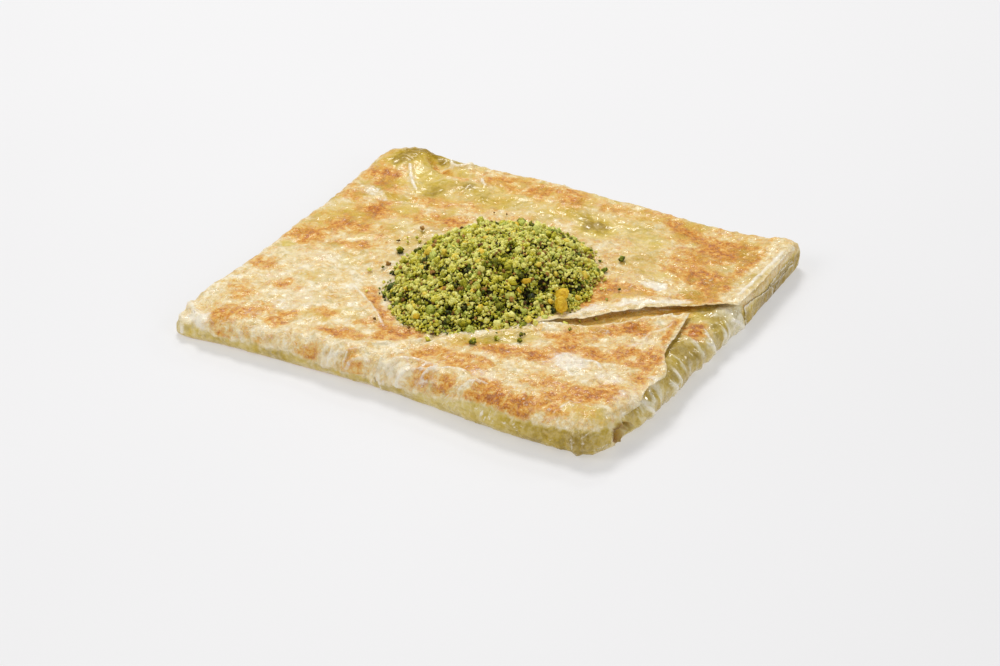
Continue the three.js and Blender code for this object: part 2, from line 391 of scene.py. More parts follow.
FLAP_ROOT = plan_share(-0.05, -0.85)
FLAPS_PART = plan_share(0.4, -0.3)
NOTCH = plan_share(0.8, 0.05)  # where the front flap's rim ends beside its turned-up free corner
FREE_CORNER = plan_share(0.86, 0.1)
GAP_END = plan_share(1.03, 0.3)

SEAM = bowed_line(FLAP_ROOT, FLAPS_PART, 3)
FRONT_RIM = bowed_line(FLAPS_PART, NOTCH, -5)
FRONT_TIP = SmoothLine((NOTCH, plan_share(0.82, 0.02), FREE_CORNER), smooth=False)
FRONT_SIDE = SmoothLine(
    (
        FREE_CORNER, plan_share(0.89, -0.1), plan_share(0.92, -0.3), plan_share(0.99, -0.45),
        plan_share(0.97, -0.6), plan_share(0.98, -0.75),
    ),
    1.2,
)
BACK_RIM = bowed_line(FLAPS_PART, GAP_END, 3)
# The torn, stepped end of the outer skin on the open side near the front corner, as (y, z).
CORNER_TEAR = SmoothLine(
    ((-26, 7), (-50, 8), (-60, 13), (-76, 13), (-76, 10), (-83, 10), (-83, 6), (-92, 6), (-92, -3)),
    smooth=False,
)

FAR = 130.0
GAP = Outline(
    FRONT_RIM, FRONT_TIP, FRONT_SIDE,
    ((HALF_LENGTH, -FAR), (FAR, -FAR), (FAR, GAP_END[1])), BACK_RIM.reversed(),
)
FRONT_FLAP = Outline(SEAM, FRONT_RIM, FRONT_TIP, FRONT_SIDE, ((FAR, -71), (FAR, -FAR), (-7, -FAR)))
BACK_FLAP = Outline(BACK_RIM, ((FAR, GAP_END[1]), (FAR, FAR), (0, FAR), (0, -60)))
CORNER_SKIN = Outline(CORNER_TEAR, ((-FAR, -3), (-FAR, FAR), (-26, FAR)))


# ------------------------------------------------------------------ wrinkles, creases and hollows


class Sheet(Enum):
    """The plane in which a crease's points are given."""

    TOP = (0, 1)
    FRONT = (0, 2)
    SIDE = (1, 2)


@dataclass(frozen=True)
class Crease:
    """A raised fold of the skin along a line, or a furrow if its height is negative. Its pale value whitens
    the crest: partly flaky white, partly a painted highlight.
    """

    points: tuple[Plan, ...]
    width: float
    height: float
    pale: float = 0.0
    sheet: Sheet = Sheet.TOP


CREASES = (
    # the left flap's edge under the heap, and the soft fold that swings round below it
    Crease(((-50, -33), (-32, -46), (-14, -63)), 0.75, 1.0, 0.9),
    Crease(((-46, -70), (-34, -82), (-20, -78), (-2, -66), (8, -56)), 1.7, 0.9, 0.45),
    Crease(((-36, -84), (-30, -85.5), (-22, -83), (-14, -79)), 0.9, 0.7, 0.6),
    # the front shoulder's big wrinkles
    Crease(((-3, -88), (1, -82), (6, -79.5), (13, -79), (19, -81)), 1.5, 1.5, 0.7),
    Crease(((2, -90), (9, -84.5), (17, -83), (25, -84)), 1.0, 1.1, 0.8),
    Crease(((14, -88), (20, -82), (28, -79.5), (36, -80.5)), 1.2, 1.0, 0.8),
    Crease(((-22, -87), (-15, -84), (-8, -84)), 0.8, 1.0, 0.65),
    Crease(((33, -90), (38, -85), (46, -83.5)), 1.0, 0.8, 0.8),
    # short crisp pleats across the front shoulder
    *(Crease(((x, -92), (x + 2, -88), (x + 4, -82)), 0.65, 0.95, 0.75) for x in (-34, -31, -28, -24)),
    Crease(((-44, -85), (-36, -86), (-28, -86)), 0.7, -0.6, 0.0),
    Crease(((-87, -82), (-82, -87), (-80, -90)), 1.0, 0.7, 0.35),
    Crease(((-74, -84), (-69, -86), (-65, -89)), 0.8, 0.7, 0.7),
    Crease(((-59, -90), (-58, -86), (-56, -82)), 0.7, 0.7, 0.5),
    # the left corner's pinched ridges
    Crease(((-106, -70), (-98, -78), (-88, -86)), 1.5, 1.5, 0.85),
    Crease(((-106, -76), (-102, -82), (-98, -87)), 1.2, 1.2, 0.8),
    Crease(((-95, -89), (-90, -86), (-85, -83)), 1.1, 0.8, 0.5),
    # the puffed back left corner: its furrow, rolled lip and pale creases
    Crease(((-77, 86), (-66, 78), (-54, 76), (-44, 81)), 2.3, -2.3, 0.0),
    Crease(((-68, 89), (-61, 83), (-54, 88)), 1.5, 2.3, 0.8),
    Crease(((-81, 75), (-74, 64), (-65, 54)), 0.9, 1.0, 1.0),
    Crease(((-45, 76), (-42, 72), (-39, 70)), 0.9, 0.8, 0.9),
    Crease(((-78, 48), (-69, 45), (-60, 46)), 1.2, -0.9, 0.0),
    # fine folds of the back flap beside the heap and towards the open side
    Crease(((45, -22), (52, -12), (62, -3), (74, 6), (86, 13)), 1.4, 0.7, 0.6),
    Crease(((60, 8), (70, 13), (82, 19), (95, 25)), 1.0, 0.5, 0.5),
    Crease(((55, 30), (63, 27), (72, 28)), 0.9, 0.5, 0.8),
    Crease(((101, 27), (101, 84)), 1.3, 0.5, 0.9),
    # the front flap: a tick of pale folds in its middle, and two folds by its side rim
    Crease(((60, -47), (66, -51), (74, -47), (80, -52)), 1.0, 0.8, 1.0),
    Crease(((66, -51), (67, -58), (73, -62)), 0.9, 0.6, 0.9),
    Crease(((88, 2), (88, -8), (84, -18), (86, -30)), 1.2, 0.6, 0.6),
    Crease(((97, -40), (90, -48), (80, -60), (77, -70)), 1.2, 0.6, 0.5),
    # the roll along the open side: bright cross folds and the crack beside the back section
    Crease(((18, 12), (26, 6), (35, -2)), 1.2, 1.0, 1.0, Sheet.SIDE),
    Crease(((26, 14), (31, 8), (37, -1)), 0.9, -0.9, 0.0, Sheet.SIDE),
    Crease(((-84, 10), (-77, 3), (-69, 5)), 0.8, 0.7, 1.0, Sheet.SIDE),
    Crease(((-4, 12), (0, 8), (1, 4)), 1.0, 0.9, 0.9, Sheet.SIDE),
    Crease(((-40, 12), (-36, 8), (-34, 3)), 1.2, 1.0, 0.9, Sheet.SIDE),
    Crease(((-60, 11), (-56, 7), (-55, 1)), 1.0, 0.8, 0.9, Sheet.SIDE),
    # the front fold's upright folds near the open corner
    Crease(((84, 11), (84, 0)), 1.3, -1.3, 0.0, Sheet.FRONT),
    Crease(((88, 13), (90, -1)), 1.1, 1.4, 0.6, Sheet.FRONT),
    Crease(((92, 14), (94, 6)), 1.5, 1.1, 0.6, Sheet.FRONT),
    Crease(((97, 9), (99, 5), (98, 0)), 0.8, 0.8, 0.5, Sheet.FRONT),
    Crease(((77, 12), (76, 7), (78, 2)), 1.2, 0.7, 0.5, Sheet.FRONT),
    Crease(((-3, 9), (-4, 4), (-3, 0)), 0.9, 0.7, 0.8, Sheet.FRONT),
)

POCKET_MOUTH = Outline(oval((-76, 7), 7.5, 4, -0.3))  # as (y, z)


@dataclass
class SkinRelief:
    """How the skin rises and sinks along its normal, for the packet and for the leaves that lie on it."""

    form: PacketForm
    soft: GradientNoise = field(default_factory=lambda: GradientNoise(11))
    sharp: GradientNoise = field(default_factory=lambda: GradientNoise(12))
    pale: Array = field(default_factory=lambda: np.zeros(0))

    def front_shoulder(self, places: Array) -> Array:
        """How much a place belongs to the crumpled shoulder above the front fold."""
        x, y, z = places.T
        return smoothstep(-y, 72, 84) * smoothstep(z, 4.5, 9) * (0.45 + 0.55 * smoothstep(x, -40, -5))

    def roll(self, places: Array) -> Array:
        """How much a place belongs to the roll along the open side."""
        x, y, _ = places.T
        return smoothstep(x, 94, 100) * (1 - smoothstep(y, 25, 30)) * smoothstep(y, -92, -80)

    def creases(self, places: Array) -> tuple[Array, Array]:
        """Height of the named creases, and how pale they make the skin: partly flaky white, partly a painted
        highlight along their crests.
        """
        rise = np.zeros(len(places))
        pale = np.zeros(len(places))
        near = {
            Sheet.TOP: places[:, 2] > 0.42 * self.form.top_height(places[:, 0], places[:, 1]),
            Sheet.FRONT: places[:, 1] < -0.42 * self.form.depth,
            Sheet.SIDE: places[:, 0] > 0.455 * self.form.length,
        }
        for crease in CREASES:
            first, second = crease.sheet.value
            line = SmoothLine(crease.points, 2.0)
            low = line.samples.min(0) - 4 * crease.width
            high = line.samples.max(0) + 4 * crease.width
            inside = near[crease.sheet] & (places[:, first] > low[0]) & (places[:, first] < high[0])
            inside &= (places[:, second] > low[1]) & (places[:, second] < high[1])
            if not inside.any():
                continue
            far, share = line.distance(places[inside, first], places[inside, second])
            wobble = 1 + 0.35 * self.soft.at(places[inside], 5.0)
            ends = smoothstep(share, 0.0, 0.14) * (1 - smoothstep(share, 0.86, 1.0))
            shape = np.exp(-((far / crease.width) ** 2)) * ends * wobble
            rise[inside] += crease.height * shape
            pale[inside] = np.maximum(pale[inside], crease.pale * shape)
        return rise, pale

    def wrinkles(self, places: Array) -> tuple[Array, Array]:
        """Rise of the skin that packet and leaves share.

        Args:
            places: places on the smooth form.

        Returns:
            Rise in millimetres, and how pale the folds make the skin, 0..1: partly flaky white, partly a
            painted highlight on the crests.
        """
        x, y, z = places.T
        drift = np.column_stack([self.soft.at(places + shift, 15.0) for shift in (0, 40, 80)])
        bent = places + 3.0 * drift
        rise = 0.55 * self.soft.cloud(places, 27.0, 2)
        folds = self.sharp.ridges(bent, (12.0, 10.0, 10.0))
        rise += 0.95 * (folds - 0.4)
        fine = self.sharp.ridges(bent + 50, 4.6)
        rise += 0.62 * (fine - 0.4)
        shoulder = self.front_shoulder(places)
        crumple = self.sharp.ridges(bent + 90, (6.5, 9.0, 7.5))
        rise += 1.25 * shoulder * (crumple - 0.35)
        roll = self.roll(places)
        cross = self.sharp.ridges(places + 2.4 * drift + 120, (26.0, 7.0, 22.0))
        milky = smoothstep(self.soft.cloud(places + 700, (14.0, 9.0, 14.0), 2), -0.25, 0.3)
        rise += roll * (cross - 0.4) * (0.8 + 0.6 * milky)
        face = smoothstep(-y, 80, 86) * (1 - smoothstep(z, 7, 11))
        streaks = self.soft.cloud(places + 0.8 * drift, (3.2, 30.0, 16.0), 2)
        rise += 0.4 * face * streaks
        leaning = bent + np.outer(0.7 * z, (1.0, 0.0, 0.0))
        crisp = self.sharp.ridges(leaning + 160, (2.9, 9.0, 8.0))
        above = smoothstep(-y, 68, 82) * smoothstep(z, 3.5, 6) * (1 - smoothstep(x, 80, 98))
        above *= smoothstep(self.soft.cloud(places + 500, 16.0, 2), -0.35, 0.25)
        rise += 0.65 * above * (crisp - 0.3)
        rise *= smoothstep(z, 0.0, 2.5)
        named, pale = self.creases(places)
        # Pale crests of folds, crinkles, roll ridges and face streaks: partly the skin's flaky white, partly
        # a painted highlight where the crests catch the light.
        fleck_and_sheen_zone = smoothstep(self.soft.cloud(places + 900, 13.0, 2), -0.1, 0.3)
        fleck_and_sheen_zone = fleck_and_sheen_zone * (1 - roll) * smoothstep(z, 6, 9)
        pale = np.maximum(pale, 0.55 * fleck_and_sheen_zone * smoothstep(fine, 0.58, 0.84))
        pale = np.maximum(pale, 0.4 * shoulder * smoothstep(crumple, 0.62, 0.9))
        crests = 0.8 * above * smoothstep(crisp, 0.62, 0.82) * (1 - 0.6 * smoothstep(-x, 84, 92))
        pale = np.maximum(pale, crests)
        pale = np.maximum(pale, 0.85 * roll * milky * smoothstep(cross, 0.45, 0.9))
        pale = np.maximum(pale, 0.5 * face * smoothstep(streaks, 0.22, 0.55))
        pale = np.maximum(pale, 0.4 * smoothstep(folds, 0.7, 0.95))
        return rise + named * smoothstep(z, 0.0, 2.5), pale

    def hollows(self, places: Array, turn: Array) -> tuple[Array, Array]:
        """How deep the packet's own skin lies under the leaves.

        Args:
            places: places on the smooth form.
            turn: each place's turn round its fold.

        Returns:
            Depth in millimetres, and how much a place lies in the open gap or on the roll, 0..1.
        """
        x, y, z = places.T
        gap = GAP.signed(x, y)
        open_share = smoothstep(gap, -4.4, -2.6)
        ledge = open_share * (1 - smoothstep(turn, 0.25, 1.5))
        depth = (1.9 - 0.7 * smoothstep(x, 72, 84)) * ledge * (1 + 0.25 * self.soft.at(places, 12.0))
        corner = CORNER_SKIN.signed(y, z)
        side = smoothstep(x, 95.0, 97.5)
        torn = 0.5 * side * smoothstep(z, 6, 9) * (1 - smoothstep(corner, -0.8, 1.2))
        depth += torn * (1 - smoothstep(y, -60, -50)) * (turn > 0.8)
        pocket = POCKET_MOUTH.signed(y, z)
        depth += side * smoothstep(pocket, -0.3, 1.6) * 6.0
        back_side = side * smoothstep(y, 28, 31) * smoothstep(turn, 0.5, 0.9)
        depth += 0.2 * back_side
        return depth, open_share


# ------------------------------------------------------------------ where the skin is brown, olive or pale


# How far patches spread beyond the sizes given for them.
SPREAD = 1.25


@dataclass(frozen=True)
class Patch:
    """A soft oval patch on the top, seen from above."""

    x: float
    y: float
    along: float
    across: float
    turn: float
    strength: float

    def weight(self, x: Array, y: Array) -> Array:
        """How strongly the patch colours places."""
        cosine, sine = math.cos(math.radians(self.turn)), math.sin(math.radians(self.turn))
        u = ((x - self.x) * cosine + (y - self.y) * sine) / (self.along * SPREAD)
        v = ((y - self.y) * cosine - (x - self.x) * sine) / (self.across * SPREAD)
        return self.strength * np.exp(-((u * u + v * v) ** 1.9))


TOASTED = (
    # behind, towards the open side
    Patch(77, 73, 16, 7, 0, 0.85), Patch(85, 68, 6.5, 5, 0, 1.1), Patch(91, 60, 3, 11, 0, 0.6),
    Patch(83, 41, 15, 6.5, -8, 0.8), Patch(91, 38, 6, 3, 0, 0.95), Patch(80, 37, 6, 3, 0, 0.95),
    Patch(86, 26, 5, 7, -35, 0.7), Patch(92, 20, 8, 3.5, 35, 0.7), Patch(68, 57, 7, 9, 0, 0.5),
    Patch(76, 62, 9, 5, 20, 0.5), Patch(52, 82, 9, 5, -20, 0.9), Patch(55, 77, 4, 4, 0, 0.9),
    # beside the heap
    Patch(55, 14, 12, 5, 0, 0.85), Patch(45.5, -1, 3.5, 9, -10, 0.85), Patch(48, 8, 6, 6, 0, 0.7),
    # the front flap
    Patch(70, -20, 13, 4, 28, 0.8), Patch(78, -15, 5, 4, 0, 0.95), Patch(57, -33, 9, 3.5, 20, 0.75),
    Patch(91, -33, 5, 7, 10, 0.7), Patch(78, -40, 19, 3.2, 4, 0.75), Patch(84, -33, 9, 4, 10, 0.55),
    Patch(32, -57, 14, 4.5, 8, 0.85), Patch(50.5, -54, 4.5, 3.5, 0, 1.1), Patch(58, -49, 6, 8, 0, 0.6),
    Patch(10, -72, 7, 7, 0, 0.55), Patch(15, -80, 4, 2.5, 0, 0.85), Patch(29, -75, 8, 4, 0, 0.65),
    Patch(22, -71, 5, 4, 0, 0.6), Patch(37, -70, 4, 4, 0, 0.5), Patch(55, -88, 9, 4, 0, 0.95),
    Patch(45, -85, 6, 4, 0, 0.75), Patch(66, -87, 6, 3.5, 0, 0.7), Patch(82, -72, 12, 6.5, 18, 0.75),
    Patch(92, -65, 5, 6, 20, 0.6), Patch(75, -80, 8, 4, 0, 0.65), Patch(62, -70, 6, 5, 0, 0.5),
    Patch(96, -50, 3, 8, 8, 0.5), Patch(90.5, -4, 2, 7, 10, 0.7), Patch(92, -16, 2, 7, 8, 0.8),
    Patch(96, -32, 2, 8, 10, 0.6), Patch(62, -54, 5, 3, 0, 0.35),
    # behind and left of the heap
    Patch(-86, 60, 9, 6.5, -45, 0.8), Patch(-91, 68, 3.5, 7, 0, 0.6), Patch(-82, 54, 5, 4, 0, 0.85),
    Patch(-73, 42, 5, 9, 15, 0.6), Patch(-74, 30, 8, 6, 0, 0.85), Patch(-71, 27, 4, 5, 0, 0.8),
    Patch(-78, 14, 11, 7, -8, 0.85), Patch(-88, -1, 8, 6, 0, 0.7), Patch(-65, -3, 9, 3.5, 12, 0.55),
    Patch(-48, 33, 15, 4.5, -4, 0.65), Patch(-36, 34, 6, 4.5, 0, 0.7), Patch(-31, 56, 5, 8, -20, 0.55),
    Patch(-30, 80, 11, 7, 0, 0.55), Patch(-17, 79, 5.5, 6, 0, 0.85), Patch(2, 75, 4, 10, 0, 0.65),
    Patch(-5, 81, 6, 5, 0, 0.4), Patch(28, 83, 13, 4, 0, 0.4), Patch(-52, 49, 10, 4, 0, 0.45),
    Patch(-88, 39, 6, 5, 0, 0.5), Patch(-62, 12, 9, 6, 0, 0.35), Patch(-89, 84, 8, 6, 0, 0.5),
    Patch(-73, 83, 4, 2.5, -35, 1.0), Patch(-60, 74.5, 5, 1.6, -20, 0.7), Patch(-37, 79, 6, 4, 0, 0.8),
    Patch(-66, 78, 6, 2, -35, 0.9), Patch(-80, 80, 5, 5, 0, 0.4),
    # the left flap in front
    Patch(-90, -35, 8, 3.5, -15, 0.65), Patch(-72, -72, 5, 4, 0, 0.6), Patch(-58, -68, 4, 3, 0, 0.55),
    Patch(-72, -46, 5, 4, 0, 0.55), Patch(-88, -59, 6, 6, 0, 0.55),
    Patch(-81, -77, 8, 5, 35, 0.7), Patch(-60, -75, 5, 3.5, 0, 0.6), Patch(-45, -62, 5, 4, 0, 0.5),
    Patch(-28, -73.5, 10, 3.8, 0, 0.95), Patch(-25, -62, 6, 5, 0, 0.45), Patch(-12, -66, 5, 4, 0, 0.6),
    Patch(-32, -42, 10, 3, -47, 0.7), Patch(-19, -55, 8, 3, -47, 0.75), Patch(-8, -60, 8, 3, 0, 0.7),
    Patch(-50, -50, 3, 2, 0, 0.5), Patch(-17, -87, 5, 3.5, 0, 0.6), Patch(-70, -66, 6, 4, 20, 0.4),
    # over the front shoulder
    Patch(14, -86, 4, 3, 0, 0.7), Patch(27, -87, 5, 3, 0, 0.6), Patch(42, -90, 5, 3.5, 0, 0.75),
    Patch(60, -91, 6, 3.5, 0, 0.8), Patch(76, -88, 5, 3, 0, 0.6), Patch(88, -84, 4, 3, 0, 0.4),
    Patch(-38, -86, 4, 3, 0, 0.5), Patch(-60, -88, 4, 3, 0, 0.4), Patch(-78, -86, 4, 3, 0, 0.5),
)

OLIVE = (
    Patch(-64, -36, 9, 6, 20, 0.5), Patch(-52, -52, 7, 5, 0, 0.45), Patch(-46, -66, 8, 3, 0, 0.5),
    Patch(-70, -60, 6, 4, 0, 0.4), Patch(-58, -14, 8, 5, 0, 0.45), Patch(-86, -22, 6, 6, 0, 0.4),
    Patch(20, 60, 8, 9, 30, 1.0), Patch(-25, 68, 26, 6, 0, 0.6), Patch(-82, 86, 9, 4, 0, 1.0),
    Patch(-45, 57, 14, 7, 0, 0.55), Patch(52, 42, 9, 21, 10, 0.5), Patch(-92, -14, 4, 4, 0, 0.8),
    Patch(-70, 47, 8, 3, 0, 0.7), Patch(25, 74, 25, 8, 0, 0.45), Patch(-55, -16, 8, 12, 0, 0.3),
    Patch(72, 60, 6, 5, 0, 0.45), Patch(-35, -57, 7, 5, 0, 0.55), Patch(-72, -8, 5, 4, 0, 0.5),
    Patch(60, -24, 10, 3, 30, 0.4), Patch(62, 2, 14, 6, 35, 0.35), Patch(-62, 88, 8, 5, 0, 0.8),
    Patch(84, 82, 8, 4, 0, 0.5), Patch(34, -46, 15, 4.5, 42, 0.75), Patch(20, -56, 9, 3.5, 35, 0.6),
    Patch(90, -84, 10, 5, 0, 0.6), Patch(-76, 89, 10, 3, -10, 0.9), Patch(-84, 78, 8, 6, 40, 1.0),
    Patch(-92, 84, 5, 6, 0, 0.6), Patch(-30, 60, 14, 5, 0, 0.7),
    Patch(-63, 59, 11, 6, -20, 0.9), Patch(-52, 66, 12, 4, 0, 0.8), Patch(-80, 45, 9, 4, -20, 0.6),
    Patch(-70, 72, 9, 7, -30, 0.8), Patch(-55, 79, 8, 3, 0, 0.8), Patch(-88, 78, 8, 4, 45, 0.6),
    Patch(8, 66, 10, 6, 0, 0.7), Patch(45, 62, 9, 7, 0, 0.6), Patch(33, 68, 10, 5, 20, 0.6),
    Patch(-86, 22, 5, 8, 0, 0.6), Patch(-55, 20, 8, 9, 0, 0.5),
)

PALE = (
    Patch(65, -52, 9, 6, 0, 0.85), Patch(84, -55, 6, 5, 0, 0.7), Patch(5, -84, 8, 3, 0, 0.5),
    Patch(-65, -62, 8, 4, 0, 0.6), Patch(44, -41, 6, 5, 0, 0.35), Patch(-95, -84, 7, 6, 0, 0.9),
    Patch(-57, -52, 10, 5, 0, 0.55), Patch(-81, 45, 8, 3.5, -20, 0.7), Patch(66, 24, 5, 2.5, 0, 0.9),
    Patch(-72, 65, 2, 7, 40, 0.4), Patch(-50, -78, 9, 5, 0, 0.35), Patch(84, -24, 7, 4, 40, 0.6),
    Patch(40, -78, 7, 4, 0, 0.6), Patch(-80, -42, 8, 6, 0, 0.45), Patch(-62, 22, 8, 5, 0, 0.35),
    Patch(-75, -20, 12, 6, 10, 0.5), Patch(66, 5.5, 10, 3.2, 38, 0.9), Patch(80, 14, 8, 2.6, 32, 0.8),
    Patch(98, -66, 4, 9, 0, 0.6),
    Patch(50, -11, 9, 3.2, 52, 0.9), Patch(57, 24, 10, 7, 20, 0.45), Patch(60, -60, 6, 6, 0, 0.5),
    Patch(0, 60, 18, 4, 0, 0.3),
)

# Height on the front fold at which the pale crumpled skin gives way to smooth olive skin, along X.
OLIVE_LINE_X = (-105, -93, -81, -71, -61, -47, -39, -28, -12, 2, 20, 31, 43, 54, 63, 73, 90, 105)
OLIVE_LINE_Z = (7.6, 7.4, 6.0, 7, 7.4, 7.8, 6.2, 6, 6, 6.2, 7.8, 9.8, 12.3, 12.3, 11, 11.5, 13, 14)


def patch_weight(patches: Sequence[Patch], x: Array, y: Array) -> Array:
    """The strongest of several patches at each place, with overlaps adding a little."""
    strongest = np.zeros(len(x))
    total = np.zeros(len(x))
    for patch in patches:
        weight = patch.weight(x, y)
        strongest = np.maximum(strongest, weight)
        total += weight
    return strongest + 0.25 * (total - strongest)


@dataclass
class Browning:
    """Where the skin is toasted, olive with filling showing through, or pale and flaky, with shade painted
    in the pocket and highlights painted on fold crests.
    """

    form: PacketForm
    noise: GradientNoise = field(default_factory=lambda: GradientNoise(21))

    @staticmethod
    def ground(x: Array, y: Array) -> tuple[Array, Array, Array]:
        """Ground of gold, olive and flaky white between the patches, region by region."""
        behind = smoothstep(y, -40, 25)
        open_side = smoothstep(x, 15, 60)
        front_left = (1 - behind) * (1 - open_side)
        gold = 0.2 + 0.08 * behind + 0.05 * open_side
        olive = 0.2 + 0.5 * behind - 0.12 * open_side * behind
        return gold, olive, 0.12 + 0.5 * front_left + 0.2 * open_side

    def fields(self, places: Array, pale: Array, open_share: Array) -> dict[str, Array]:
        """Values for the dough's finish.

        Args:
            places: places on the smooth form.
            pale: how pale the folds make the skin, partly as a painted highlight on their crests.
            open_share: how much a place lies in the open gap or on the roll.

        Returns:
            Named values of 0..1 for each place.
        """
        x, y, z = places.T
        drift_x = 4.4 * self.noise.cloud(places, 11.0, 4)
        drift_y = 4.4 * self.noise.cloud(places + 60, 11.0, 4)
        toast = patch_weight(TOASTED, x + drift_x, y + drift_y)
        olive = patch_weight(OLIVE, x + drift_x, y + drift_y)
        flake = patch_weight(PALE, x + drift_y, y + drift_x)
        blotch = self.noise.cloud(places + 90, 9.0, 3)
        mottle = self.noise.cloud(places + 210, 4.6, 2)
        speckle = self.noise.cloud(places + 150, 2.8, 2)
        gold, green, white = self.ground(x, y)
        toast = toast * (0.85 + 0.45 * blotch + 0.4 * mottle) + gold
        toast = toast + 0.28 * blotch + 0.2 * mottle + 0.1 * speckle
        toast = 1 - np.exp(-1.3 * np.maximum(toast, 0))
        shine = self.noise.cloud(places + 270, 13.0, 3)
        olive = np.maximum(olive, green * smoothstep(shine, -0.45, 0.45) + 0.12 * mottle)
        flake = np.maximum(flake, white * smoothstep(self.noise.cloud(places + 330, 6.0, 3), -0.1, 0.6))
        height = self.form.top_height(x, y)
        level = z / height
        side = 1 - smoothstep(level, 0.62, 0.9)
        front = smoothstep(-y, 78, 86)
        line = np.interp(x, OLIVE_LINE_X, OLIVE_LINE_Z) + 1.3 * speckle + 0.8 * blotch
        face = front * (1 - smoothstep(z - line, -1.0, 1.2))
        roll = smoothstep(x, 94, 99) * open_share
        other_sides = side * (1 - front) * (1 - roll)
        olive = np.clip(olive - 0.3 * blotch * olive, 0, 1)
        olive = np.maximum(olive, (0.76 + 0.19 * smoothstep(x, 30, 80)) * face)
        olive = np.maximum(olive, (0.62 + 0.38 * smoothstep(x, 96, 100)) * other_sides)
        olive = np.maximum(olive, open_share * 0.92)
        spot = Patch(97.5, -0.5, 5.0, 7.0, 0, 1.1).weight(x + 0.4 * drift_x, y + 0.4 * drift_y)
        spot *= 0.8 + 0.5 * speckle
        toast *= 1 - np.maximum(face, np.maximum(open_share, 0.8 * other_sides))
        toast = np.maximum(toast, spot * open_share * smoothstep(z, 9, 11.5))
        rim = smoothstep(y, 22, 32) * smoothstep(x, 92, 98)
        toast = np.maximum(toast * (1 - 0.8 * rim), 0.28 * rim)
        pocket = smoothstep(POCKET_MOUTH.signed(y, z), -0.6, 0.1) * smoothstep(x, 88, 91)
        # Painted shade in the pocket: deeper in, the skin is drawn browner and less olive.
        pocket_depth_shade = pocket * (0.62 + 0.38 * smoothstep(-y, 72, 80))
        toast = np.maximum(toast * (1 - pocket), 0.85 * pocket_depth_shade)
        olive = np.maximum(olive, pocket) - 0.55 * pocket_depth_shade
        olive *= 1 - np.clip(spot * open_share, 0, 1)
        ledge = open_share * (1 - smoothstep(x, 86, 96)) * smoothstep(level, 0.5, 0.8)
        toast = np.maximum(toast, ledge * (0.52 + 0.3 * smoothstep(x, 72, 84) + 0.4 * blotch))
        olive = np.minimum(olive, 1 - 0.5 * ledge)
        smudge = self.noise.cloud(places + 510, (5.0, 30.0, 18.0), 2)
        toast = np.maximum(toast, 0.4 * face * smoothstep(smudge, 0.12, 0.5))
        shoulder = front * smoothstep(z - line, 0.0, 1.5) * smoothstep(-y, 80, 86)
        flake = np.clip(flake + 0.35 * speckle * flake + 0.12 * shoulder, 0, 1)
        covered = np.maximum(np.maximum(face, open_share), 0.8 * other_sides)
        flake = np.maximum(flake * (1 - 0.85 * covered), pale)
        flake = np.maximum(flake, 0.05 * rim * (1 + speckle)) * (1 - pocket)
        flake = np.maximum(flake, 0.5 * roll * smoothstep(y, 12, 22))
        wet = np.maximum(roll, 0.2 * smoothstep(x, 99, 101.5) * smoothstep(y, 20, 28)) * (1 - pocket)
        below = 1 - smoothstep(z, 0.2, 1.2)
        return {
            "toast": np.clip(toast, 0, 1.2),
            "olive": np.clip(olive, 0, 1),
            "flake": np.clip(flake, 0, 1),
            "below": below,
            "wet": np.clip(wet * (1 - spot), 0, 1),
            # painted shade that darkens the pocket, strongest deepest in
            "hollow": np.clip(pocket * (0.4 + 0.6 * smoothstep(-y, 72, 81)), 0, 1),
        }


# ------------------------------------------------------------------ meshes


def mesh_from(bm: bmesh.types.BMesh, name: str) -> bpy.types.Object:
    """Turns a bmesh into a linked object with that name."""
    mesh = bpy.data.meshes.new(name)
    bm.to_mesh(mesh)
    bm.free()
    piece = bpy.data.objects.new(name, mesh)
    bpy.context.scene.collection.objects.link(piece)
    return piece


def places_of(mesh: bpy.types.Mesh) -> Array:
    """A mesh's vertex places, one row each."""
    flat = np.empty(len(mesh.vertices) * 3)
    mesh.vertices.foreach_get("co", flat)
    return flat.reshape(-1, 3)


def put_places(mesh: bpy.types.Mesh, places: Array) -> None:
    """Moves a mesh's vertices to these places."""
    mesh.vertices.foreach_set("co", np.ascontiguousarray(places, np.float32).ravel())
    mesh.update()


def normals_of(mesh: bpy.types.Mesh) -> Array:
    """A mesh's vertex normals, one row each."""
    flat = np.empty(len(mesh.vertices) * 3)
    mesh.vertex_normals.foreach_get("vector", flat)
    return flat.reshape(-1, 3)


def put_values(mesh: bpy.types.Mesh, values: dict[str, Array]) -> None:
    """Keeps named values on a mesh's vertices for its finish to read."""
    for name, value in values.items():
        attribute = mesh.attributes.get(name) or mesh.attributes.new(name, "FLOAT", "POINT")
        attribute.data.foreach_set("value", np.ascontiguousarray(value, np.float32))


def shade_smooth(mesh: bpy.types.Mesh) -> None:
    """Shades every face smoothly."""
    mesh.polygons.foreach_set("use_smooth", np.ones(len(mesh.polygons), bool))


def seat(piece: bpy.types.Object, slot: str, material: bpy.types.Material, *replaced: str) -> None:
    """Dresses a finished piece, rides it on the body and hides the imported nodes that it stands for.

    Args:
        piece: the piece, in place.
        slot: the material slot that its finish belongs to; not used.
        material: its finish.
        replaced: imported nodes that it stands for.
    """
    piece.data.materials.clear()
    piece.data.materials.append(material)
    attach(piece, BODY)
    if replaced:
        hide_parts(*replaced)
    LOG.info("%s: %d faces", piece.name, len(piece.data.polygons))


# ------------------------------------------------------------------ the folded dough


@dataclass
class Skin:
    """The dough's skin: its form, how it wrinkles and where it is browned."""

    form: PacketForm
    relief: SkinRelief
    browning: Browning

    def height(self, x: Array, y: Array) -> Array:
        """Height of the wrinkled top at plan places."""
        places = np.column_stack([x, y, self.form.top_height(x, y)])
        rise, _ = self.relief.wrinkles(places)
        depth, _ = self.relief.hollows(places, np.zeros(len(places)))
        return places[:, 2] + rise - depth


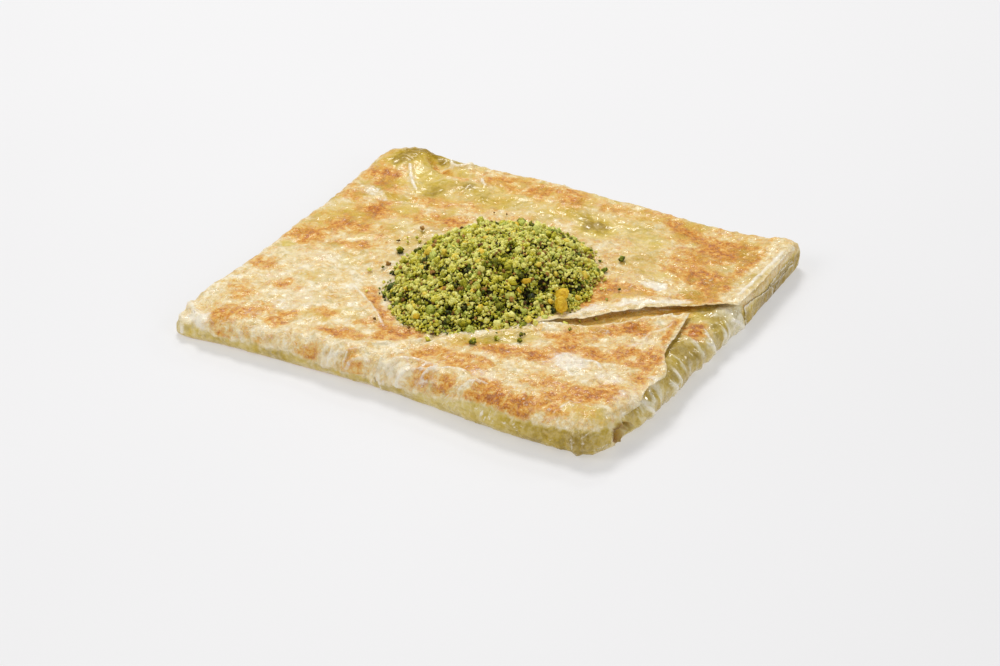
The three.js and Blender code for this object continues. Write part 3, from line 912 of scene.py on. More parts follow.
@dataclass
class DoughPacket:
    """The whole packet as one closed skin, from its top round the folds to its underside."""

    skin: Skin
    cells_x: int = 288
    cells_y: int = 262
    underside_rings: tuple[float, ...] = (0.95, 0.88, 0.78, 0.66, 0.53, 0.4, 0.27, 0.14, 0.05)

    def build(self) -> bpy.types.Object:
        """Makes the mesh.

        Returns:
            The packet, in place.
        """
        bm = bmesh.new()
        bmesh.ops.create_grid(bm, x_segments=self.cells_x, y_segments=self.cells_y, size=1.0)
        rim = [edge for edge in bm.edges if edge.is_boundary]
        for level, scale in enumerate(self.underside_rings, 1):
            made = bmesh.ops.extrude_edge_only(bm, edges=rim)["geom"]
            ring = [item for item in made if isinstance(item, bmesh.types.BMVert)]
            rim = [item for item in made if isinstance(item, bmesh.types.BMEdge)]
            for vert in ring:
                vert.co.z = -level
        bmesh.ops.pointmerge(bm, verts=ring, merge_co=(0, 0, -len(self.underside_rings)))
        bmesh.ops.recalc_face_normals(bm, faces=bm.faces[:])
        piece = mesh_from(bm, "dough_packet")
        mesh = piece.data
        square = places_of(mesh)
        level = np.rint(-square[:, 2]).astype(int)
        places, turn = self.skin.form.surface(square[:, 0], square[:, 1])
        scale = np.array([1.0, *self.underside_rings])[level]
        places[:, :2] *= scale[:, None]
        put_places(mesh, places)
        if normals_of(mesh)[np.argmax(places[:, 2])][2] < 0:
            mesh.flip_normals()
        normals = normals_of(mesh)
        rise, pale = self.skin.relief.wrinkles(places)
        depth, open_share = self.skin.relief.hollows(places, turn)
        lifted = places + normals * (rise - depth)[:, None]
        below = level > 0
        arch = 0.35 + 0.35 * self.skin.relief.soft.cloud(places + 200, 24.0, 2)
        lifted[:, 2] = np.where(below, np.clip(arch, 0, 1) * (1 - scale), np.maximum(lifted[:, 2], 0))
        put_places(mesh, lifted * MM)
        put_values(mesh, self.skin.browning.fields(places, pale, open_share))
        shade_smooth(mesh)
        return piece


@dataclass
class Leaf:
    """A thin sheet of dough that lies on the packet, lifts at its real edge and sinks in further in."""

    name: str
    skin: Skin
    edge_distance: Callable[[Array], Array]
    reach_a: tuple[float, float]
    reach_b: tuple[float, float]
    spacing: float = 0.62
    band: float = 9.0
    dive: float = 4.6
    lift: float = 0.45
    curl: float = 0.7
    thickness: float = 0.7
    tear: float = 0.35
    pale_edge: float = 1.5
    edge_white: float = 0.6
    overhang: Callable[[Array, Array], Array] | None = None

    def build(self) -> bpy.types.Object:
        """Makes the sheet.

        Returns:
            The leaf, in place.
        """
        form = self.skin.form
        wide = (self.reach_a[1] - self.reach_a[0]) / 2
        deep = (self.reach_b[1] - self.reach_b[0]) / 2
        bm = bmesh.new()
        bmesh.ops.create_grid(
            bm,
            x_segments=int(wide * form.length / self.spacing),
            y_segments=int(deep * form.depth / self.spacing),
            size=1.0,
        )
        piece = mesh_from(bm, self.name)
        mesh = piece.data
        square = places_of(mesh)
        a = self.reach_a[0] + (square[:, 0] + 1) * wide
        b = self.reach_b[0] + (square[:, 1] + 1) * deep
        places, _ = form.surface(a, b)
        put_places(mesh, places)
        if normals_of(mesh)[np.argmax(places[:, 2])][2] < 0:
            mesh.flip_normals()
        normals = normals_of(mesh)
        tear = self.tear * self.skin.relief.sharp.cloud(places + 300, 3.4, 3)
        inward = self.edge_distance(places) + tear
        self._keep_band(mesh, places, normals, inward)
        return piece

    def _keep_band(self, mesh: bpy.types.Mesh, places: Array, normals: Array, inward: Array) -> None:
        """Cuts the sheet to its edge and its band, then lifts and thickens it.

        Args:
            mesh: the uncut sheet.
            places: its places on the smooth form.
            normals: its normals there.
            inward: distance of each place from the real edge, positive on the leaf.
        """
        bm = bmesh.new()
        bm.from_mesh(mesh)
        source = bm.verts.layers.int.new("source")
        for index, vert in enumerate(bm.verts):
            vert[source] = index
        deepest = {face: max(inward[v.index] for v in face.verts) for face in bm.faces}
        far = [face for face, depth in deepest.items() if depth <= 0 or depth > self.band]
        places = places.copy()
        inward = inward.copy()
        for vert in bm.verts:
            if inward[vert.index] > 0:
                continue
            beside = [edge.other_vert(vert).index for edge in vert.link_edges]
            inner = [index for index in beside if inward[index] > 0]
            if not inner:
                inner = [v.index for f in vert.link_faces for v in f.verts if inward[v.index] > 0]
            if inner:
                target = places[inner].mean(0)
                within = inward[inner].mean()
                share = -inward[vert.index] / (within - inward[vert.index])
                vert.co = Vector(places[vert.index] + (target - places[vert.index]) * share)
        bmesh.ops.delete(bm, geom=far, context="FACES")
        kept = np.array([vert[source] for vert in bm.verts])
        bm.verts.layers.int.remove(source)
        bm.to_mesh(mesh)
        bm.free()
        places = places_of(mesh)
        normals = normals[kept]
        inward = np.maximum(inward[kept], 0)
        rise, pale = self.skin.relief.wrinkles(places)
        curl = 0.5 + 0.8 * self.skin.relief.soft.cloud(places + 400, 13.0, 2)
        lift = self.lift * lerp(0.45, 1.0, smoothstep(places[:, 2], 4, 9))
        raised = lift - (lift + 1.6) * smoothstep(inward, self.dive, self.dive + 4.0)
        raised -= 1.4 * smoothstep(places[:, 1], 83, 89) * smoothstep(places[:, 0], 96, 99)
        near_edge = np.exp(-((inward / 2.6) ** 1.5))
        raised += self.curl * np.clip(curl, 0, 1.4) * near_edge * smoothstep(places[:, 2], 7, 14)
        level_share = self.overhang(places[:, 0], places[:, 1]) if self.overhang else np.zeros(len(places))
        straight = places.copy()
        top_level = self.skin.form.top_height(places[:, 0], places[:, 1])
        straight[:, 2] = lerp(places[:, 2], top_level, level_share)
        normals = lerp(normals, np.array([0.0, 0.0, 1.0]), level_share[:, None])
        normals /= np.linalg.norm(normals, axis=1)[:, None]
        outer = straight + normals * (rise + raised)[:, None]
        outer[:, 2] = np.maximum(outer[:, 2], 0.05)
        count = len(places)
        bm = bmesh.new()
        bm.from_mesh(mesh)
        bmesh.ops.solidify(bm, geom=bm.faces[:], thickness=0.02)
        bm.to_mesh(mesh)
        bm.free()
        thick = places_of(mesh)
        partner = np.arange(len(thick))
        partner[count:] = nearest_rows(thick[count:], places)
        inner_side = np.arange(len(thick)) >= count
        taper = np.clip(0.35 + inward / 2.2, 0.35, 1.0) * self.thickness
        thin = outer[partner] - normals[partner] * (taper[partner] * inner_side)[:, None]
        thin[:, 2] = np.maximum(thin[:, 2], 0.03)
        put_places(mesh, thin * MM)
        open_share = np.zeros(count)
        values = self.skin.browning.fields(places, pale, open_share)
        uneven = 0.8 + 0.6 * self.skin.relief.soft.cloud(places, 7.0, 2)
        edge = np.exp(-((inward / self.pale_edge) ** 2)) * uneven
        values["flake"] = np.clip(np.maximum(values["flake"], self.edge_white * edge), 0, 1)
        values["toast"] = values["toast"] * (1 - 0.5 * edge)
        put_values(mesh, {name: value[partner] for name, value in values.items()})
        shade_smooth(mesh)


def nearest_rows(points: Array, targets: Array) -> Array:
    """Index of the target nearest to each point."""
    tree = KDTree(len(targets))
    for i, target in enumerate(targets):
        tree.insert(target, i)
    tree.balance()
    return np.array([tree.find(point)[1] for point in points], int)


# The leaves that lie on the open side, as (y, z).
SECOND_WRAP = Outline(
    SmoothLine(((37, -3), (30, 12), (33, 12), (60, 7), (63, 5), (63, -3)), smooth=False)
)
LOW_LEAF = Outline(SmoothLine(((64, -3), (66, 4), (76, 6), (92, 6), (93, -3)), smooth=False))
MIDDLE_LEAF = Outline(SmoothLine(((57, 7), (61, 9), (92, 9), (93, 7), (66, 6), (57, 7)), smooth=False))


def dough_leaves(skin: Skin) -> list[Leaf]:
    """The leaves whose edges show on the packet."""
    form = skin.form

    def front_edge(places: Array) -> Array:
        """Distance from the front flap's edge, on the top and down the open corner."""
        x, y, z = places.T
        side = np.maximum(CORNER_SKIN.signed(y, z), 97 - x)
        return np.minimum(FRONT_FLAP.signed(x, y), side)

    def back_edge(places: Array) -> Array:
        """Distance from the back flap's rim along the gap and along the open side."""
        x, y, z = places.T
        rim = z - form.top_height(x, y) + 1.7 + np.maximum(101 - x, 0) + 3 * np.maximum(y - 88, 0)
        return np.minimum(BACK_FLAP.signed(x, y), rim)

    def side_edge(region: Outline) -> Callable[[Array], Array]:
        """Distance from the edge of a leaf that lies on the open side."""
        return lambda places: region.signed(places[:, 1], places[:, 2])

    def front_overhang(x: Array, y: Array) -> Array:
        """Where the front flap stands out over the roll."""
        return 0.8 * smoothstep(x, 94, 99) * smoothstep(y, -64, -52) * (1 - smoothstep(y, -36, -26))

    def back_overhang(x: Array, y: Array) -> Array:
        """Where the back flap ends level above the open side."""
        return 0.8 * smoothstep(x, 96, 101) * smoothstep(y, 18, 28) * (1 - smoothstep(y, 78, 86))

    return [
        Leaf(
            "front_flap_edge", skin, front_edge, (-0.14, 0.985), (-0.985, 0.14),
            overhang=front_overhang,
        ),
        Leaf(
            "back_flap_edge", skin, back_edge, (0.3, 0.94), (-0.36, 0.95),
            lift=0.7, curl=0.9, tear=0.2, pale_edge=2.0, edge_white=0.6, overhang=back_overhang,
        ),
        Leaf(
            "second_wrap", skin, side_edge(SECOND_WRAP), (0.86, 0.99), (0.27, 0.7),
            lift=0.1, tear=0.15, thickness=0.4, pale_edge=1.0, edge_white=0.9,
        ),
        Leaf(
            "middle_leaf", skin, side_edge(MIDDLE_LEAF), (0.86, 0.97), (0.56, 0.99),
            lift=-0.1, thickness=0.35, pale_edge=0.8, edge_white=0.9,
        ),
        Leaf(
            "low_leaf", skin, side_edge(LOW_LEAF), (0.88, 0.99), (0.64, 0.99),
            lift=0.0, tear=0.15, thickness=0.4, pale_edge=1.0, edge_white=0.9,
        ),
    ]


# ------------------------------------------------------------------ the pistachio heap


def heap_outline(angle: Array) -> Array:
    """How far the heap reaches at each angle, as a share of its radius."""
    return 1 + 0.05 * np.cos(2 * angle - 2.33) + 0.025 * np.cos(3 * angle - 0.94)


@dataclass(frozen=True)
class HeapForm:
    """The heap's outer form: a low mound with an uneven outline and a lumpy face."""

    skin: Skin
    x: float
    y: float
    radius: float
    stretch: float
    height: float
    top: float
    lumps: GradientNoise = field(default_factory=lambda: GradientNoise(31))

    def share(self, x: Array, y: Array) -> Array:
        """How far a plan place lies from the middle, as a share of the heap's radius there."""
        u = x - self.x
        v = (y - self.y) / self.stretch
        places = np.column_stack([x, y, np.zeros(len(x))])
        ragged = 0.09 * self.lumps.cloud(places, 10.0, 2)
        return np.hypot(u, v) / (self.radius * (heap_outline(np.arctan2(v, u)) + ragged))

    def surface(self, x: Array, y: Array) -> Array:
        """Height of the heap's face at plan places, before its crumbs stand out."""
        share = np.clip(self.share(x, y), 0, 1.4)
        rise = self.height * np.clip(1 - share**2.3, 0, 1) ** 1.3
        places = np.column_stack([x, y, np.zeros(len(x))])
        lumps = 1.9 * self.lumps.cloud(places, 10.0, 2) + 3.4 * self.lumps.cloud(places + 70, 4.8, 2)
        lumps *= smoothstep(1.05 - share, 0, 0.3)
        dough = self.skin.height(x, y)
        base = self.skin.form.top_height(np.full(1, self.x), np.full(1, self.y))[0]
        mound = base + rise + lumps - 0.6
        return np.where(share < 1.0, np.maximum(mound, dough - 0.4), dough - 0.4)


@dataclass(frozen=True)
class CrumbKind:
    """One kind of crumb and how it lies on the heap."""

    name: str
    count: int
    small: float
    large: float
    detail: int
    lobes: int
    flat: float
    cuts: int
    tone: tuple[float, float]
    gap: float
    sunk: float
    shapes: int = 14
    reach: float = 1.0
    roughness: float = 0.3
    lean: float = 0.0


class Crumbs:
    """Makes irregular crumbs, places them and joins each kind into one piece."""

    def __init__(self, heap: HeapForm, seed: int) -> None:
        """Starts the draws.

        Args:
            heap: the heap on which the crumbs lie.
            seed: names one arrangement.
        """
        self.heap = heap
        self.draw = np.random.default_rng(seed)
        self.noise = GradientNoise(seed + 1)

    def shape(self, kind: CrumbKind, which: int) -> tuple[Array, Array, Array]:
        """One irregular crumb of unit size, grown from a few lobes.

        Args:
            kind: how round, rough and broken it is.
            which: number of the shape.

        Returns:
            Its vertex places, its triangles and how much lighter each vertex is.
        """
        bm = bmesh.new()
        shades = []
        for lobe in range(kind.lobes):
            size = 0.5 if kind.lobes == 1 else self.draw.uniform(0.26, 0.38)
            spread = 0.0 if kind.lobes == 1 else 0.22
            centre = Vector(self.draw.normal(size=3)).normalized() * spread
            made = bmesh.ops.create_icosphere(bm, subdivisions=kind.detail, radius=size)["verts"]
            places = np.array([vert.co for vert in made]) / size * 0.5 + 7.7 * which + 3.1 * lobe
            swell = 1 + kind.roughness * self.noise.at(places, 0.5)
            swell += 0.7 * kind.roughness * self.noise.at(places + 40, 0.24)
            light = 0.3 * self.noise.at(places + 80, 0.45)
            for vert, grow, shade in zip(made, swell, light):
                vert.co = centre + vert.co * max(grow, 0.4)
                shades.append(shade)
        for _ in range(kind.cuts):
            way = Vector(self.draw.normal(size=3)).normalized()
            depth = self.draw.uniform(0.22, 0.4)
            cut = bmesh.ops.bisect_plane(
                bm, geom=bm.verts[:] + bm.edges[:] + bm.faces[:],
                plane_co=way * depth, plane_no=way, clear_outer=True,
            )
            loop = [item for item in cut["geom_cut"] if isinstance(item, bmesh.types.BMEdge)]
            bmesh.ops.edgeloop_fill(bm, edges=loop)
        bmesh.ops.triangulate(bm, faces=bm.faces[:])
        bmesh.ops.recalc_face_normals(bm, faces=bm.faces[:])
        bm.verts.index_update()
        verts = np.array([vert.co for vert in bm.verts])
        faces = np.array([[vert.index for vert in face.verts] for face in bm.faces])
        light = np.zeros(len(verts)) if kind.cuts else np.array(shades)
        bm.free()
        return verts, faces, light

    def spots(self, kind: CrumbKind, sizes: Array) -> Array:
        """Plan places for crumbs, kept a share of their sizes apart.

        Args:
            kind: how dense the crumbs lie.
            sizes: size of each crumb.

        Returns:
            Plan places, one row for each crumb that found room.
        """
        cell = max(kind.gap * kind.large, 0.5)
        grid: dict[tuple[int, int], list[tuple[float, float, float]]] = {}
        found = []
        tries = iter(self.draw.uniform(-1, 1, size=(len(sizes) * 14, 2)))
        for size in sizes:
            for u, v in tries:
                radius = math.hypot(u, v)
                if radius > 1:
                    continue
                x = self.heap.x + u * self.heap.radius * kind.reach
                y = self.heap.y + v * self.heap.radius * self.heap.stretch * kind.reach
                key = (int(x // cell), int(y // cell))
                near = [
                    other
                    for i in (-1, 0, 1)
                    for j in (-1, 0, 1)
                    for other in grid.get((key[0] + i, key[1] + j), ())
                ]
                if any(math.hypot(x - p, y - q) < kind.gap * (size + r) / 2 for p, q, r in near):
                    continue
                grid.setdefault(key, []).append((x, y, size))
                found.append((x, y))
                break
        return np.array(found)

    def join(self, name: str, shapes: list[tuple[Array, Array, Array]], centres: Array, sizes: Array,
             flat: float, tones: Array) -> bpy.types.Object:
        """Joins crumbs into one mesh.

        Args:
            name: the piece's name.
            shapes: unit crumbs to choose from.
            centres: centre of each crumb.
            sizes: size of each crumb.
            flat: how much thinner than wide a crumb may be.
            tones: colour value of each crumb.

        Returns:
            The piece, in place.
        """
        verts, faces, tone_and_shade_rows, cast_rows = [], [], [], []
        offset = 0
        for centre, size, tone in zip(centres, sizes, tones):
            unit, triangles, light = shapes[self.draw.integers(len(shapes))]
            turn, _ = np.linalg.qr(self.draw.normal(size=(3, 3)))
            turn *= np.sign(np.linalg.det(turn))
            stretch = size * self.draw.uniform([0.9, 0.72, flat], [1.15, 1.0, 0.95])
            crumb = (unit * stretch) @ turn.T
            verts.append(crumb + centre)
            faces.append(triangles + offset)
            # Painted light and shade: each crumb's top is drawn lighter and its underside darker, by height
            # within the crumb.
            tone_and_shade_rows.append(np.clip(tone + light + 0.45 * crumb[:, 2] / size, 0, 1))
            cast_rows.append(np.full(len(unit), self.draw.uniform()))
            offset += len(unit)
        mesh = bpy.data.meshes.new(name)
        mesh.from_pydata(np.vstack(verts) * MM, [], np.vstack(faces))
        mesh.update()
        put_values(mesh, {"tone": np.concatenate(tone_and_shade_rows), "cast": np.concatenate(cast_rows)})
        piece = bpy.data.objects.new(name, mesh)
        bpy.context.scene.collection.objects.link(piece)
        if len(shapes[0][0]) > 20:
            shade_smooth(mesh)
        return piece

    def cover(self, kind: CrumbKind) -> bpy.types.Object:
        """Covers the heap with crumbs of one kind."""
        skew = self.draw.uniform(0, 1, kind.count) ** 1.7
        sizes = np.sort(kind.small + (kind.large - kind.small) * skew)[::-1]
        spots = self.spots(kind, sizes)
        sizes = sizes[: len(spots)]
        x, y = spots.T
        coarse = smoothstep(-(x - self.heap.x) - 0.8 * (y - self.heap.y), -50, 45)
        chance = lerp(1 - kind.lean, 1.0, coarse)
        share = self.heap.share(x, y)
        chance *= 1 - 0.85 * smoothstep(share, 0.97, 1.02)
        keep = (share < 0.99 * kind.reach) & (self.draw.uniform(size=len(x)) < chance)
        x, y, sizes, coarse = x[keep], y[keep], sizes[keep], coarse[keep]
        sinking = self.draw.uniform(-kind.sunk, 0.32, len(x))
        z = self.heap.surface(x, y) + sizes * sinking
        z += 0.9 * (self.heap.share(x, y) > 1.0) * (1 - sizes * sinking)
        z = np.minimum(z, self.heap.top + 0.4 - 0.5 * sizes)
        shapes = [self.shape(kind, which) for which in range(kind.shapes)]
        places = np.column_stack([x, y, np.zeros(len(x))])
        standing = self.heap.lumps.cloud(places + 70, 4.8, 2)
        stain = self.heap.lumps.cloud(places + 130, 9.0, 2)
        # Painted shade: crumbs sunk deeper are drawn darker and crumbs on high lumps lighter, added to their
        # random tone and stains.
        tones = 0.31 + self.draw.uniform(*kind.tone, len(x)) + 0.9 * standing + 0.3 * stain + 0.35 * sinking
        tones = np.clip(tones - patch_weight(DARK_ZONES, x, y) - 0.12 * coarse, 0, 1)
        return self.join(kind.name, shapes, np.column_stack([x, y, z]), sizes, kind.flat, tones)


# Parts of the heap where the crumbs are darker.
DARK_ZONES = (
    Patch(22, -22, 9, 6, 40, 0.2), Patch(12, 2, 8, 4, 0, 0.2), Patch(-6, -42, 8, 5, 0, 0.05),
    Patch(30, -12, 6, 5, 0, 0.2), Patch(-30, -6, 4, 6, 0, 0.08),
)

CRUMB_KINDS = (
    CrumbKind(
        "pistachio_meal", 7600, 0.8, 1.7, 1, 1, 0.6, 0, (0.2, 1.0), 0.58, 0.6,
        shapes=24, roughness=1.0, reach=1.08,
    ),
    CrumbKind(
        "pistachio_grit", 2500, 1.5, 2.9, 1, 3, 0.7, 0, (0.1, 1.0), 0.72, 0.3,
        shapes=32, roughness=0.95, reach=1.05,
    ),
    CrumbKind(
        "pistachio_pieces", 380, 2.6, 5.2, 1, 5, 0.7, 0, (0.0, 0.95), 0.9, 0.0,
        shapes=24, roughness=0.7, lean=0.5,
    ),
    CrumbKind("golden_pieces", 90, 1.8, 3.6, 2, 1, 0.6, 3, (0.2, 1.0), 1.6, 0.0, roughness=0.6, lean=0.3),
    CrumbKind("nut_skins", 900, 1.1, 3.0, 1, 2, 0.5, 0, (0.0, 0.9), 0.9, 0.35, roughness=0.7, lean=0.2),
)


@dataclass(frozen=True)
class LooseCrumb:
    """A single crumb, on the heap's face or fallen beside it."""

    x: float
    y: float
    size: float
    tone: float


@dataclass(frozen=True)
class Strewing:
    """Crumbs strewn over a ring about the heap's middle, few of them large.

    The ring's two reaches are shares of the heap's radius.
    """

    seed: int
    count: int
    ring: tuple[float, float]
    sizes: tuple[float, float]
    tones: tuple[float, float]

    def crumbs(self, form: HeapForm) -> list[LooseCrumb]:
        """Draws the crumbs' places, sizes and tones."""
        draw = np.random.default_rng(self.seed)
        near, far = self.ring
        made = []
        for _ in range(self.count):
            way = draw.uniform(-math.pi, math.pi)
            reach = form.radius * math.sqrt(draw.uniform(near**2, far**2))
            x = form.x + reach * math.cos(way)
            y = form.y + reach * form.stretch * math.sin(way)
            size = float(lerp(*self.sizes, draw.uniform() ** 2))
            made.append(LooseCrumb(x, y, size, draw.uniform(*self.tones)))
        return made


LOOSE_GREEN = Strewing(71, 27, (1.06, 1.26), (1.2, 4.0), (0.2, 0.9))
HEAP_GREEN = Strewing(72, 18, (0.0, 0.95), (3.6, 5.0), (0.05, 0.9))
HEAP_GOLDEN = Strewing(73, 11, (0.0, 0.95), (2.6, 4.8), (0.4, 1.0))
HEAP_BROWN = Strewing(74, 6, (0.3, 0.95), (3.0, 4.8), (0.35, 0.8))
LOOSE_SKINS = Strewing(75, 10, (1.06, 1.3), (1.1, 2.8), (0.1, 0.9))


@dataclass
class PistachioHeap:
    """The heap: a relief core, its crumbs by kind and the crumbs that fell beside it."""

    form: HeapForm
    cells: int = 150

    def core(self) -> bpy.types.Object:
        """Makes the heap's closed core, which lies just under the crumbs."""
        bm = bmesh.new()
        bmesh.ops.create_grid(bm, x_segments=self.cells, y_segments=self.cells, size=1.0)
        bmesh.ops.delete(bm, geom=[v for v in bm.verts if v.co.length > 1.0], context="VERTS")
        rim = [edge for edge in bm.edges if edge.is_boundary]
        made = bmesh.ops.extrude_edge_only(bm, edges=rim)["geom"]
        ring = [item for item in made if isinstance(item, bmesh.types.BMVert)]
        for vert in ring:
            vert.co.z = -1
        bmesh.ops.contextual_create(bm, geom=[item for item in made if isinstance(item, bmesh.types.BMEdge)])
        bmesh.ops.triangulate(bm, faces=[face for face in bm.faces if len(face.verts) > 4])
        bmesh.ops.recalc_face_normals(bm, faces=bm.faces[:])
        piece = mesh_from(bm, "heap_core")
        mesh = piece.data
        square = places_of(mesh)
        x = self.form.x + square[:, 0] * self.form.radius * 1.04
        y = self.form.y + square[:, 1] * self.form.radius * self.form.stretch * 1.04
        places = np.column_stack([x, y, np.zeros(len(x))])
        grain = 0.6 * self.form.lumps.cloud(places + 60, 2.6, 2)
        sunk = 1.6 + 0.6 * smoothstep(self.form.share(x, y), 0.88, 1.0)
        below_crumbs = self.form.surface(x, y) - sunk + grain
        z = np.where(square[:, 2] < -0.5, self.form.skin.height(x, y) - 3.0, below_crumbs)
        put_places(mesh, np.column_stack([x, y, z]) * MM)
        shade_smooth(mesh)
        return piece

    def loose(
        self, name: str, crumbs: Sequence[LooseCrumb], kind: CrumbKind, maker: Crumbs
    ) -> bpy.types.Object:
        """Lays single crumbs on the heap and beside it, joined into one piece."""
        x = np.array([crumb.x for crumb in crumbs], float)
        y = np.array([crumb.y for crumb in crumbs], float)
        sizes = np.array([crumb.size for crumb in crumbs])
        z = self.form.skin.height(x, y) + (0.5 + 0.1 * sizes) + 0.12 * sizes
        z = np.maximum(z, self.form.surface(x, y) + 0.32 * sizes)
        z = np.minimum(z, self.form.top + 0.6 - 0.5 * sizes)
        shapes = [maker.shape(kind, which) for which in range(8)]
        tones = np.array([crumb.tone for crumb in crumbs])
        return maker.join(name, shapes, np.column_stack([x, y, z]), sizes, kind.flat, tones)


@dataclass(frozen=True)
class NutPiece:
    """A large golden piece of kernel that leans on the heap, with broken facets and a rough face."""

    node: str
    seed: int
    slimness: float
    taper: float

    def build(self) -> bpy.types.Object:
        """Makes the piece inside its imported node's box."""
        low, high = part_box(self.node)
        middle = (np.array(low) + np.array(high)) / 2 / MM
        half = (np.array(high) - np.array(low)) / 2 / MM
        noise = GradientNoise(self.seed)
        bm = bmesh.new()
        bmesh.ops.create_icosphere(bm, subdivisions=5, radius=1.0)
        draw = np.random.default_rng(self.seed)
        piece = mesh_from(bm, f"{self.node}_kernel")
        mesh = piece.data
        unit = places_of(mesh)
        reach = np.full(len(unit), 1.12)
        for _ in range(13):
            way = draw.normal(size=3)
            way /= np.linalg.norm(way)
            facing = unit @ way
            facet = draw.uniform(0.72, 0.95) / np.maximum(facing, 0.2)
            reach = np.minimum(reach, np.where(facing > 0.2, facet, 9))
        reach = reach + 0.09 * noise.cloud(unit * 3, 1.4, 3) + 0.04 * noise.cloud(unit * 3 + 9, 0.4, 2)
        shaped = unit * reach[:, None]
        shaped[:, :2] *= (1 - self.taper * shaped[:, 2])[:, None]
        shaped /= np.abs(shaped).max(0)
        shaped[:, :2] *= self.slimness
        put_places(mesh, (middle + shaped * half) * MM)
        put_values(mesh, {"tone": np.clip(0.5 + 0.5 * noise.cloud(unit * 3 + 20, 1.2, 2), 0, 1)})
        shade_smooth(mesh)
        return piece


# ------------------------------------------------------------------ finishes


def linear(red: float, green: float, blue: float) -> tuple[float, float, float, float]:
    """A colour given as 0..255 display values, as the shader wants it."""
    shares = [value / 255 for value in (red, green, blue)]
    return (*(s / 12.92 if s <= 0.04045 else ((s + 0.055) / 1.055) ** 2.4 for s in shares), 1.0)


class ShaderSheet:
    """Adds nodes to one node tree and joins them."""

    def __init__(self, tree: bpy.types.NodeTree) -> None:
        """Works on a tree."""
        self.tree = tree

    def add(self, kind: str, **settings: object) -> bpy.types.Node:
        """Adds a node with these settings."""
        node = self.tree.nodes.new(kind)
        for name, value in settings.items():
            setattr(node, name, value)
        return node

    def feed(self, socket: bpy.types.NodeSocket, value: object) -> None:
        """Links a socket to another, or sets it to a plain value."""
        if isinstance(value, bpy.types.NodeSocket):
            self.tree.links.new(value, socket)
        else:
            socket.default_value = value

    def math(self, operation: str, first: object, second: object = 0.0, third: object = 0.0,
             clamp: bool = False) -> bpy.types.NodeSocket:
        """A number worked out from others."""
        node = self.add("ShaderNodeMath", operation=operation, use_clamp=clamp)
        for socket, value in zip(node.inputs, (first, second, third)):
            self.feed(socket, value)
        return node.outputs[0]

    def step(self, value: object, low: float, high: float) -> bpy.types.NodeSocket:
        """A number that rises smoothly from 0 at low to 1 at high."""
        node = self.add("ShaderNodeMapRange", interpolation_type="SMOOTHSTEP")
        self.feed(node.inputs["Value"], value)
        self.feed(node.inputs["From Min"], low)
        self.feed(node.inputs["From Max"], high)
        return node.outputs["Result"]

    def mix(self, share: object, first: object, second: object, blend: str = "MIX") -> bpy.types.NodeSocket:
        """A colour between two others."""
        node = self.add("ShaderNodeMix", data_type="RGBA", blend_type=blend, clamp_factor=True)
        for index, value in ((0, share), (6, first), (7, second)):
            self.feed(node.inputs[index], value)
        return node.outputs[2]

    def ramp(self, value: object, stops: Sequence[tuple[float, tuple]]) -> bpy.types.NodeSocket:
        """A colour read from a ramp."""
        node = self.add("ShaderNodeValToRGB")
        elements = node.color_ramp.elements
        while len(elements) < len(stops):
            elements.new(0.5)
        for element, (position, colour) in zip(elements, stops):
            element.position = position
            element.color = colour
        self.feed(node.inputs[0], value)
        return node.outputs[0]

    def value(self, name: str) -> bpy.types.NodeSocket:
        """A value kept on the mesh."""
        return self.add("ShaderNodeAttribute", attribute_name=name).outputs["Fac"]

    def noise(self, vector: object, scale: object, detail: float, distortion: float = 0.0,
              roughness: float = 0.55) -> bpy.types.NodeSocket:
        """Cloudy noise of about 0..1."""
        node = self.add("ShaderNodeTexNoise")
        self.feed(node.inputs["Vector"], vector)
        self.feed(node.inputs["Scale"], scale)
        self.feed(node.inputs["Detail"], detail)
        self.feed(node.inputs["Roughness"], roughness)
        self.feed(node.inputs["Distortion"], distortion)
        return node.outputs[0]


